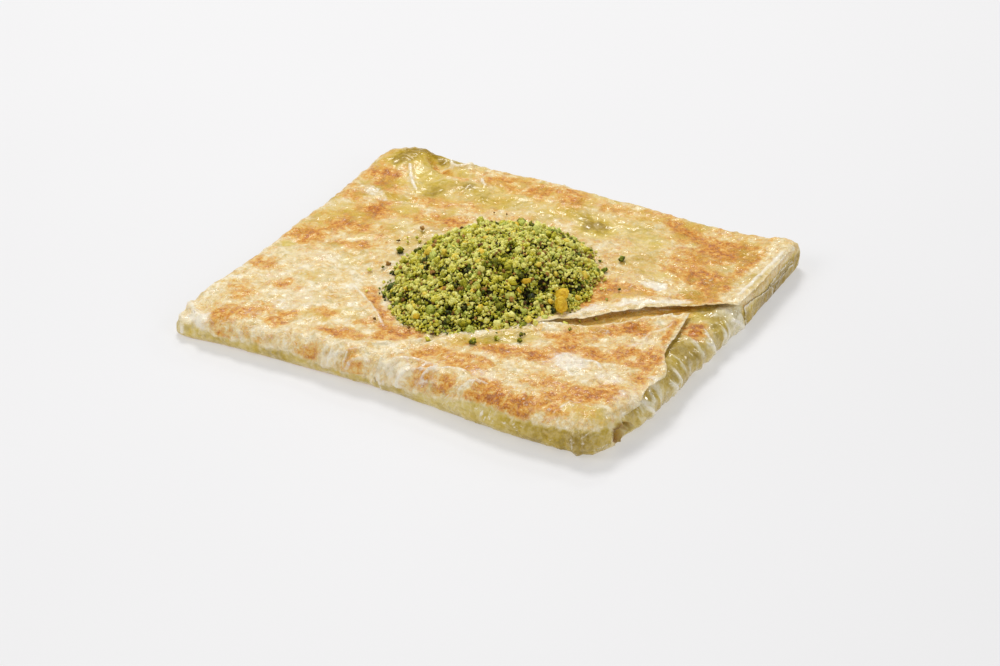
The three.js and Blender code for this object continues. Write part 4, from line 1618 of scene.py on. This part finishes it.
class Effect(Enum):
    """Surface effects that several finishes share, each a node group."""

    GRAIN = "food_grain"
    CRINKLE = "skin_crinkle"

    def group(self) -> bpy.types.NodeTree:
        """The effect's node group, built the first time it is asked for."""
        found = bpy.data.node_groups.get(self.value)
        if found:
            return found
        tree = bpy.data.node_groups.new(self.value, "ShaderNodeTree")
        if self is Effect.GRAIN:
            self._build_grain(tree)
        else:
            self._build_crinkle(tree)
        return tree

    @staticmethod
    def _sockets(tree: bpy.types.NodeTree, inputs: Sequence[str], outputs: Sequence[str]) -> None:
        """Gives a group its named number sockets."""
        for name in inputs:
            tree.interface.new_socket(name, in_out="INPUT", socket_type="NodeSocketFloat")
        for name in outputs:
            tree.interface.new_socket(name, in_out="OUTPUT", socket_type="NodeSocketFloat")

    def _build_grain(self, tree: bpy.types.NodeTree) -> None:
        """Clouds, fine grain and small beads."""
        self._sockets(tree, ("Cloud Scale", "Grain Scale"), ("Cloud", "Grain", "Beads"))
        sheet = ShaderSheet(tree)
        given = sheet.add("NodeGroupInput")
        out = sheet.add("NodeGroupOutput")
        place = sheet.add("ShaderNodeTexCoord").outputs["Object"]
        sheet.feed(out.inputs["Cloud"], sheet.noise(place, given.outputs["Cloud Scale"], 3.0))
        sheet.feed(out.inputs["Grain"], sheet.noise(place, given.outputs["Grain Scale"], 2.0))
        beads = sheet.add("ShaderNodeTexVoronoi", feature="F1")
        sheet.feed(beads.inputs["Vector"], place)
        sheet.feed(beads.inputs["Scale"], given.outputs["Grain Scale"])
        sheet.feed(out.inputs["Beads"], sheet.math("SUBTRACT", 1.0, beads.outputs["Distance"], clamp=True))

    def _build_crinkle(self, tree: bpy.types.NodeTree) -> None:
        """Thin raised lines that wander over a skin, and the hollows between them."""
        self._sockets(tree, ("Scale", "Sharpness"), ("Lines", "Valleys"))
        sheet = ShaderSheet(tree)
        given = sheet.add("NodeGroupInput")
        out = sheet.add("NodeGroupOutput")
        place = sheet.add("ShaderNodeTexCoord").outputs["Object"]
        cloud = sheet.noise(place, given.outputs["Scale"], 2.0, distortion=0.6)
        off = sheet.math("ABSOLUTE", sheet.math("SUBTRACT", cloud, 0.5))
        falloff = sheet.math("MULTIPLY", off, given.outputs["Sharpness"])
        line = sheet.math("SUBTRACT", 1.0, falloff, clamp=True)
        sheet.feed(out.inputs["Lines"], line)
        sheet.feed(out.inputs["Valleys"], sheet.step(cloud, 0.46, 0.3))

    def place(self, sheet: ShaderSheet, **values: float) -> bpy.types.Node:
        """Puts the effect in a material with its own values."""
        node = sheet.add("ShaderNodeGroup", node_tree=self.group())
        for name, value in values.items():
            node.inputs[name.replace("_", " ")].default_value = value
        return node


def new_material(name: str) -> tuple[bpy.types.Material, ShaderSheet, bpy.types.Node]:
    """A material with an empty sheet and its shader."""
    material = bpy.data.materials.new(name)
    material.use_nodes = True
    sheet = ShaderSheet(material.node_tree)
    return material, sheet, material.node_tree.nodes["Principled BSDF"]


def raise_surface(sheet: ShaderSheet, shader: bpy.types.Node, height: object, strength: float,
                  distance: float) -> None:
    """Gives a shader fine relief from a height value, its distance in millimetres."""
    bump = sheet.add("ShaderNodeBump")
    bump.inputs["Strength"].default_value = strength
    bump.inputs["Distance"].default_value = distance * MM
    sheet.feed(bump.inputs["Height"], height)
    sheet.feed(shader.inputs["Normal"], bump.outputs["Normal"])


@dataclass(frozen=True)
class DoughFinish:
    """Thin oiled dough: cream skin that turns gold, orange and brown, olive where it is see-through. Shade
    is painted in the pocket and the crinkle valleys; highlights on crinkles and beads and a sheen on the
    roll are partly painted.
    """

    toast_stops: tuple = (
        (0.0, linear(248, 236, 206)),
        (0.14, linear(242, 222, 176)),
        (0.28, linear(234, 205, 142)),
        (0.4, linear(232, 192, 118)),
        (0.54, linear(226, 168, 80)),
        (0.68, linear(213, 144, 54)),
        (0.84, linear(194, 114, 32)),
        (1.0, linear(168, 94, 24)),
    )
    olive_stops: tuple = (
        (0.26, linear(154, 124, 16)),
        (0.42, linear(190, 160, 38)),
        (0.56, linear(214, 187, 80)),
        (0.72, linear(230, 214, 148)),
    )
    flake_colour: tuple = linear(250, 242, 224)
    bead_glint_colour: tuple = linear(252, 214, 130)
    valley_shade_colour: tuple = linear(176, 156, 92)
    milky_sheen_colour: tuple = linear(232, 222, 182)
    pocket_shade_colour: tuple = linear(104, 70, 10)

    def build(self) -> bpy.types.Material:
        """Makes the material."""
        material, sheet, shader = new_material("oiled_dough")
        grain = Effect.GRAIN.place(sheet, Cloud_Scale=290.0, Grain_Scale=1050.0)
        broad = Effect.GRAIN.place(sheet, Cloud_Scale=55.0, Grain_Scale=420.0)
        crinkle = Effect.CRINKLE.place(sheet, Scale=230.0, Sharpness=11.0)
        hair = Effect.CRINKLE.place(sheet, Scale=520.0, Sharpness=9.0)
        toast, olive, flake, below, wet, hollow = (
            sheet.value(name) for name in ("toast", "olive", "flake", "below", "wet", "hollow")
        )
        cloud = sheet.math("SUBTRACT", grain.outputs["Cloud"], 0.5)
        fine = sheet.math("SUBTRACT", grain.outputs["Grain"], 0.5)
        medium = sheet.math("SUBTRACT", broad.outputs["Grain"], 0.5)
        pan = sheet.math("MULTIPLY_ADD", sheet.math("SUBTRACT", broad.outputs["Cloud"], 0.42), 2.6, 0.3)
        toast = sheet.math("ADD", toast, sheet.math("MULTIPLY", below, pan))
        swing = sheet.math("MULTIPLY_ADD", toast, 0.8, 0.52)
        spread = sheet.math("ADD", sheet.math("MULTIPLY", cloud, 0.9), sheet.math("MULTIPLY", fine, 0.8))
        spread = sheet.math("MULTIPLY_ADD", medium, 1.1, spread)
        toasted = sheet.math("MULTIPLY_ADD", swing, spread, toast, clamp=True)
        colour = sheet.ramp(toasted, self.toast_stops)
        depth = sheet.math("ADD", sheet.math("MULTIPLY", broad.outputs["Cloud"], 0.7),
                           sheet.math("MULTIPLY", broad.outputs["Grain"], 0.3))
        depth = sheet.math("MULTIPLY_ADD", sheet.step(olive, 0.78, 0.94), -0.09, depth)
        depth = sheet.math("MULTIPLY_ADD", sheet.step(olive, 0.94, 1.0), -0.1, depth)
        olive_shade = sheet.ramp(sheet.math("MULTIPLY_ADD", fine, 0.22, depth), self.olive_stops)
        see_through = sheet.math("ADD", olive, sheet.math("MULTIPLY", cloud, 0.7))
        see_through = sheet.math("MULTIPLY", sheet.step(see_through, 0.15, 0.95), 0.95)
        colour = sheet.mix(see_through, colour, olive_shade)
        # The roll's wet skin is drawn milky pale: partly its own milky tint, partly a painted sheen.
        milky_sheen_mask = sheet.step(sheet.math("MULTIPLY_ADD", cloud, 0.5, flake), 0.02, 0.5)
        wet_milky_sheen = sheet.math("MULTIPLY", milky_sheen_mask, sheet.math("MULTIPLY", wet, 0.75))
        colour = sheet.mix(wet_milky_sheen, colour, self.milky_sheen_colour)
        # Light golden beads in the browned skin: raised bubbles of the dough, partly a painted glint on
        # them.
        beads = sheet.step(sheet.math("MULTIPLY_ADD", fine, 0.9, grain.outputs["Beads"]), 0.5, 0.85)
        beads = sheet.math("MULTIPLY", beads, sheet.step(toast, 0.25, 0.6))
        beads = sheet.math("MULTIPLY", beads, sheet.step(grain.outputs["Cloud"], 0.4, 0.58))
        colour = sheet.mix(sheet.math("MULTIPLY", beads, 0.5), colour, self.bead_glint_colour)
        # Crinkle lines are whitened: partly the skin's flaky white, partly a painted highlight on their
        # raised crests.
        hair_lines = sheet.math("MULTIPLY", hair.outputs["Lines"], 0.7)
        lines = sheet.math("MAXIMUM", crinkle.outputs["Lines"], hair_lines)
        lines = sheet.math("MULTIPLY", lines, sheet.step(broad.outputs["Grain"], 0.42, 0.6))
        unbrowned = sheet.math("MULTIPLY_ADD", sheet.step(toast, 0.3, 0.7), -0.7, 1.0)
        lines = sheet.math("MULTIPLY", lines, unbrowned)
        lines = sheet.math("MULTIPLY", lines, sheet.math("MULTIPLY_ADD", see_through, -0.6, 1.0))
        # Painted shade in the valleys between crinkles, where the skin is not browned.
        valley_shade = sheet.math("MULTIPLY", crinkle.outputs["Valleys"], sheet.step(toast, 0.75, 0.3))
        valley_shade = sheet.math("MULTIPLY", valley_shade, sheet.math("MULTIPLY_ADD", flake, 0.3, 0.34))
        colour = sheet.mix(valley_shade, colour, self.valley_shade_colour)
        haze = sheet.math("MULTIPLY_ADD", fine, 0.8, sheet.math("MULTIPLY", cloud, 0.8))
        pale = sheet.math("ADD", flake, haze)
        line_share = sheet.math("MULTIPLY", lines, sheet.math("MULTIPLY_ADD", flake, 0.5, 0.35))
        pale = sheet.math("MAXIMUM", sheet.step(pale, 0.35, 0.9), line_share)
        colour = sheet.mix(sheet.math("MULTIPLY", pale, 0.85), colour, self.flake_colour)
        # Painted shade: the pocket is darkened towards a deep brown.
        colour = sheet.mix(sheet.math("MULTIPLY", hollow, 0.8), colour, self.pocket_shade_colour)
        sheet.feed(shader.inputs["Base Color"], colour)
        rough = sheet.math("MULTIPLY_ADD", see_through, -0.14, 0.42)
        sheet.feed(shader.inputs["Roughness"], sheet.math("MULTIPLY_ADD", fine, 0.3, rough))
        gloss = sheet.math("MULTIPLY_ADD", see_through, 0.2, 0.15)
        gloss = sheet.math("MULTIPLY_ADD", sheet.step(toast, 0.3, 0.8), -0.08, gloss)
        gloss = sheet.math("MULTIPLY_ADD", hollow, -0.3, gloss, clamp=True)
        sheet.feed(shader.inputs["Coat Weight"], sheet.math("MULTIPLY_ADD", wet, 0.5, gloss))
        shader.inputs["Coat Roughness"].default_value = 0.1
        shader.inputs["Specular IOR Level"].default_value = 0.1
        shader.inputs["Subsurface Weight"].default_value = 0.04
        shader.inputs["Subsurface Radius"].default_value = (1.0, 0.62, 0.25)
        shader.inputs["Subsurface Scale"].default_value = 1.6 * MM
        height = sheet.math("MULTIPLY_ADD", beads, 0.6, sheet.math("MULTIPLY", lines, 0.8))
        height = sheet.math("MULTIPLY_ADD", grain.outputs["Grain"], 0.6, height)
        height = sheet.math("MULTIPLY_ADD", grain.outputs["Cloud"], 1.1, height)
        height = sheet.math("MULTIPLY", height, sheet.math("MULTIPLY_ADD", see_through, -0.68, 1.0))
        height = sheet.math("MULTIPLY", height, sheet.math("MULTIPLY_ADD", wet, -0.55, 1.0))
        raise_surface(sheet, shader, height, 0.65, 0.6)
        return material


@dataclass(frozen=True)
class CrumbFinish:
    """Crushed nut: each crumb has its own shade, with a rough broken face."""

    name: str
    stops: tuple
    roughness: float = 0.62
    coat: float = 0.06
    variation: float = 0.3
    relief: float = 0.4
    crumble: float = 0.14
    other_stops: tuple = ()

    def build(self) -> bpy.types.Material:
        """Makes the material."""
        material, sheet, shader = new_material(self.name)
        grain = Effect.GRAIN.place(sheet, Cloud_Scale=420.0, Grain_Scale=1500.0)
        cloud = sheet.math("SUBTRACT", grain.outputs["Cloud"], 0.5)
        shade = sheet.math("MULTIPLY_ADD", cloud, 2 * self.variation, sheet.value("tone"))
        fine = sheet.math("SUBTRACT", grain.outputs["Grain"], 0.5)
        shade = sheet.math("MULTIPLY_ADD", fine, self.variation, shade)
        shade = sheet.math("MULTIPLY_ADD", sheet.step(grain.outputs["Beads"], 0.5, 0.8), self.crumble, shade)
        shade = sheet.math("SUBTRACT", shade, 0.6 * self.crumble, clamp=True)
        colour = sheet.ramp(shade, self.stops)
        if self.other_stops:
            cast = sheet.step(sheet.value("cast"), 0.55, 1.0)
            colour = sheet.mix(cast, colour, sheet.ramp(shade, self.other_stops))
        sheet.feed(shader.inputs["Base Color"], colour)
        sheet.feed(shader.inputs["Roughness"], sheet.math("MULTIPLY_ADD", cloud, 0.3, self.roughness))
        shader.inputs["Coat Weight"].default_value = self.coat
        shader.inputs["Coat Roughness"].default_value = 0.3
        shader.inputs["Specular IOR Level"].default_value = 0.2
        shader.inputs["Subsurface Weight"].default_value = 0.06
        shader.inputs["Subsurface Radius"].default_value = (0.8, 1.0, 0.3)
        shader.inputs["Subsurface Scale"].default_value = 0.8 * MM
        height = sheet.math("MULTIPLY_ADD", grain.outputs["Beads"], 1.0, grain.outputs["Grain"])
        raise_surface(sheet, shader, height, 0.9, self.relief)
        return material


GREEN_STOPS = (
    (0.0, linear(36, 40, 4)),
    (0.14, linear(72, 78, 8)),
    (0.32, linear(128, 128, 18)),
    (0.52, linear(190, 182, 34)),
    (0.72, linear(234, 222, 76)),
    (1.0, linear(255, 250, 150)),
)
DEEP_GREEN_STOPS = (
    (0.0, linear(30, 38, 8)),
    (0.3, linear(82, 98, 22)),
    (0.6, linear(142, 156, 40)),
    (1.0, linear(216, 224, 108)),
)
GREEN_MEAL = CrumbFinish("pistachio_meal", GREEN_STOPS, other_stops=DEEP_GREEN_STOPS)
GREEN_PIECES = CrumbFinish(
    "pistachio_flesh", GREEN_STOPS, roughness=0.55, coat=0.12, other_stops=DEEP_GREEN_STOPS,
)
GOLDEN = CrumbFinish(
    "golden_kernel",
    ((0.0, linear(204, 150, 28)), (0.5, linear(236, 196, 48)), (1.0, linear(248, 224, 92))),
    roughness=0.5, coat=0.15, relief=0.3, crumble=0.12,
)
SKINS = CrumbFinish(
    "nut_skin",
    (
        (0.0, linear(86, 56, 24)), (0.4, linear(122, 82, 34)),
        (0.7, linear(158, 114, 48)), (1.0, linear(196, 144, 68)),
    ),
    roughness=0.5, coat=0.1,
)
# The heap's core is coloured dark brown as painted shade in the gaps between the crumbs.
HEAP_GAP_SHADE = CrumbFinish(
    "heap_shade",
    ((0.0, linear(52, 40, 10)), (0.5, linear(84, 68, 18)), (1.0, linear(120, 104, 34))),
    variation=0.6,
)


# ------------------------------------------------------------------ the studio


@dataclass(frozen=True)
class SoftLight:
    """A square soft light that faces the packet."""

    name: str
    azimuth: float
    elevation: float
    distance: float
    width: float
    power: float
    tint: tuple[float, float, float] = (1.0, 1.0, 1.0)

    def hang(self, target: Vector) -> None:
        """Hangs the light, its azimuth measured as the camera's is."""
        lamp = bpy.data.lights.new(self.name, "AREA")
        lamp.size = self.width
        lamp.energy = self.power
        lamp.color = self.tint
        light = bpy.data.objects.new(self.name, lamp)
        bpy.context.scene.collection.objects.link(light)
        away = direction(self.azimuth, self.elevation)
        light.location = target + away * self.distance
        light.rotation_euler = away.to_track_quat("Z", "Y").to_euler()


def direction(azimuth: float, elevation: float) -> Vector:
    """The way from the packet towards a viewer or a light."""
    a, e = math.radians(azimuth), math.radians(elevation)
    return Vector((math.sin(a) * math.cos(e), -math.cos(a) * math.cos(e), math.sin(e)))


@dataclass(frozen=True)
class Studio:
    """A plain pale floor, soft lights and the camera."""

    azimuth: float = 28.28
    elevation: float = 29.92
    distance: float = 1.5185
    lens: float = 130.0
    aim: tuple[float, float] = (0.01548, -0.01896)
    lights: tuple[SoftLight, ...] = (
        SoftLight("key", -142, 56, 1.5, 0.45, 11.5),
        SoftLight("glint", -158, 38, 1.6, 0.14, 1.7),
        SoftLight("rim", 150, 28, 1.6, 0.2, 2.0),
        SoftLight("side", 76, 28, 1.6, 0.8, 5.0),
        SoftLight("front", -30, 38, 1.7, 0.7, 8.0),
        SoftLight("front_glint", -40, 52, 1.7, 0.14, 1.0),
    )
    sky: float = 0.3
    floor_glow: float = 0.42

    def build(self) -> None:
        """Sets the stage."""
        bm = bmesh.new()
        bmesh.ops.create_grid(bm, x_segments=4, y_segments=4, size=6.0)
        floor = mesh_from(bm, "floor")
        floor.location.z = -0.00005
        material, sheet, shader = new_material("pale_floor")
        place = sheet.add("ShaderNodeTexCoord").outputs["Object"]
        stops = ((0.3, linear(167, 166, 167)), (0.7, linear(170, 169, 170)))
        tint = sheet.ramp(sheet.noise(place, 3.0, 2.0), stops)
        sheet.feed(shader.inputs["Base Color"], tint)
        shader.inputs["Emission Color"].default_value = (1, 1, 1, 1)
        shader.inputs["Emission Strength"].default_value = self.floor_glow
        shader.inputs["Roughness"].default_value = 0.6
        floor.data.materials.append(material)
        world = bpy.data.worlds.new("studio_sky")
        world.use_nodes = True
        world.node_tree.nodes["Background"].inputs["Strength"].default_value = self.sky
        world.node_tree.nodes["Background"].inputs["Color"].default_value = (1, 1, 1, 1)
        bpy.context.scene.world = world
        target = Vector((*self.aim, 0.0))
        for light in self.lights:
            light.hang(target)
        camera_data = bpy.data.cameras.new("camera")
        camera_data.lens = self.lens
        camera_data.clip_end = 20.0
        camera = bpy.data.objects.new("camera", camera_data)
        bpy.context.scene.collection.objects.link(camera)
        away = direction(self.azimuth, self.elevation)
        camera.location = target + away * self.distance
        camera.rotation_euler = away.to_track_quat("Z", "Y").to_euler()
        bpy.context.scene.camera = camera
        bpy.context.scene.view_settings.view_transform = "Standard"


# ------------------------------------------------------------------ assembly


def packet_form() -> PacketForm:
    """The packet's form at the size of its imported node."""
    low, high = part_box("folded_dough")
    return PacketForm(length=round((high.x - low.x) / MM, 1), depth=round((high.y - low.y) / MM, 1))


def heap_form(skin: Skin) -> HeapForm:
    """The heap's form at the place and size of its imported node."""
    low, high = (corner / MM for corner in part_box("pistachio_heap"))
    angle = np.linspace(-math.pi, math.pi, 361)
    reach_x = heap_outline(angle) * np.cos(angle)
    reach_y = heap_outline(angle) * np.sin(angle)
    radius = (high.x - low.x) / np.ptp(reach_x)
    deep = (high.y - low.y) / np.ptp(reach_y)
    x = low.x - radius * reach_x.min()
    y = low.y - deep * reach_y.min()
    base = skin.form.top_height(np.full(1, x), np.full(1, y))[0]
    return HeapForm(skin, x, y, radius, deep / radius, high.z - base, high.z)


def build_dough(skin: Skin) -> None:
    """Builds the packet and the leaves on it."""
    dough = DoughFinish().build()
    seat(DoughPacket(skin).build(), "dough", dough, "folded_dough")
    for leaf in dough_leaves(skin):
        seat(leaf.build(), "dough", dough)


def build_topping(skin: Skin) -> None:
    """Builds the heap, the crumbs and the two large nut pieces."""
    form = heap_form(skin)
    heap = PistachioHeap(form)
    seat(heap.core(), "pistachio", HEAP_GAP_SHADE.build(), "pistachio_heap")
    meal, pieces, golden, skins = (finish.build() for finish in (GREEN_MEAL, GREEN_PIECES, GOLDEN, SKINS))
    finishes = {"pistachio_meal": meal, "golden_pieces": golden, "nut_skins": skins}
    maker = Crumbs(form, 41)
    for kind in CRUMB_KINDS:
        slot = "nut" if kind.name == "golden_pieces" else "pistachio"
        seat(maker.cover(kind), slot, finishes.get(kind.name, pieces))
    _, _, nugget, kernel, skin_kind = CRUMB_KINDS
    green = LOOSE_GREEN.crumbs(form) + HEAP_GREEN.crumbs(form)
    brown = LOOSE_SKINS.crumbs(form) + HEAP_BROWN.crumbs(form)
    seat(heap.loose("loose_crumbs", green, nugget, maker), "pistachio", pieces)
    seat(heap.loose("loose_golden", HEAP_GOLDEN.crumbs(form), kernel, maker), "nut", golden)
    seat(heap.loose("loose_skins", brown, skin_kind, maker), "pistachio", skins)
    for nut in (NutPiece("nut_piece_long", 51, 0.82, 0.12), NutPiece("nut_piece_round", 53, 1.0, 0.1)):
        seat(nut.build(), "nut", golden, nut.node)


def main() -> None:
    """Builds the katmer in its studio."""
    logging.basicConfig(level=logging.INFO, format="%(message)s")
    form = packet_form()
    skin = Skin(form, SkinRelief(form), Browning(form))
    build_dough(skin)
    build_topping(skin)
    Studio().build()


if __name__ == "__main__":
    main()
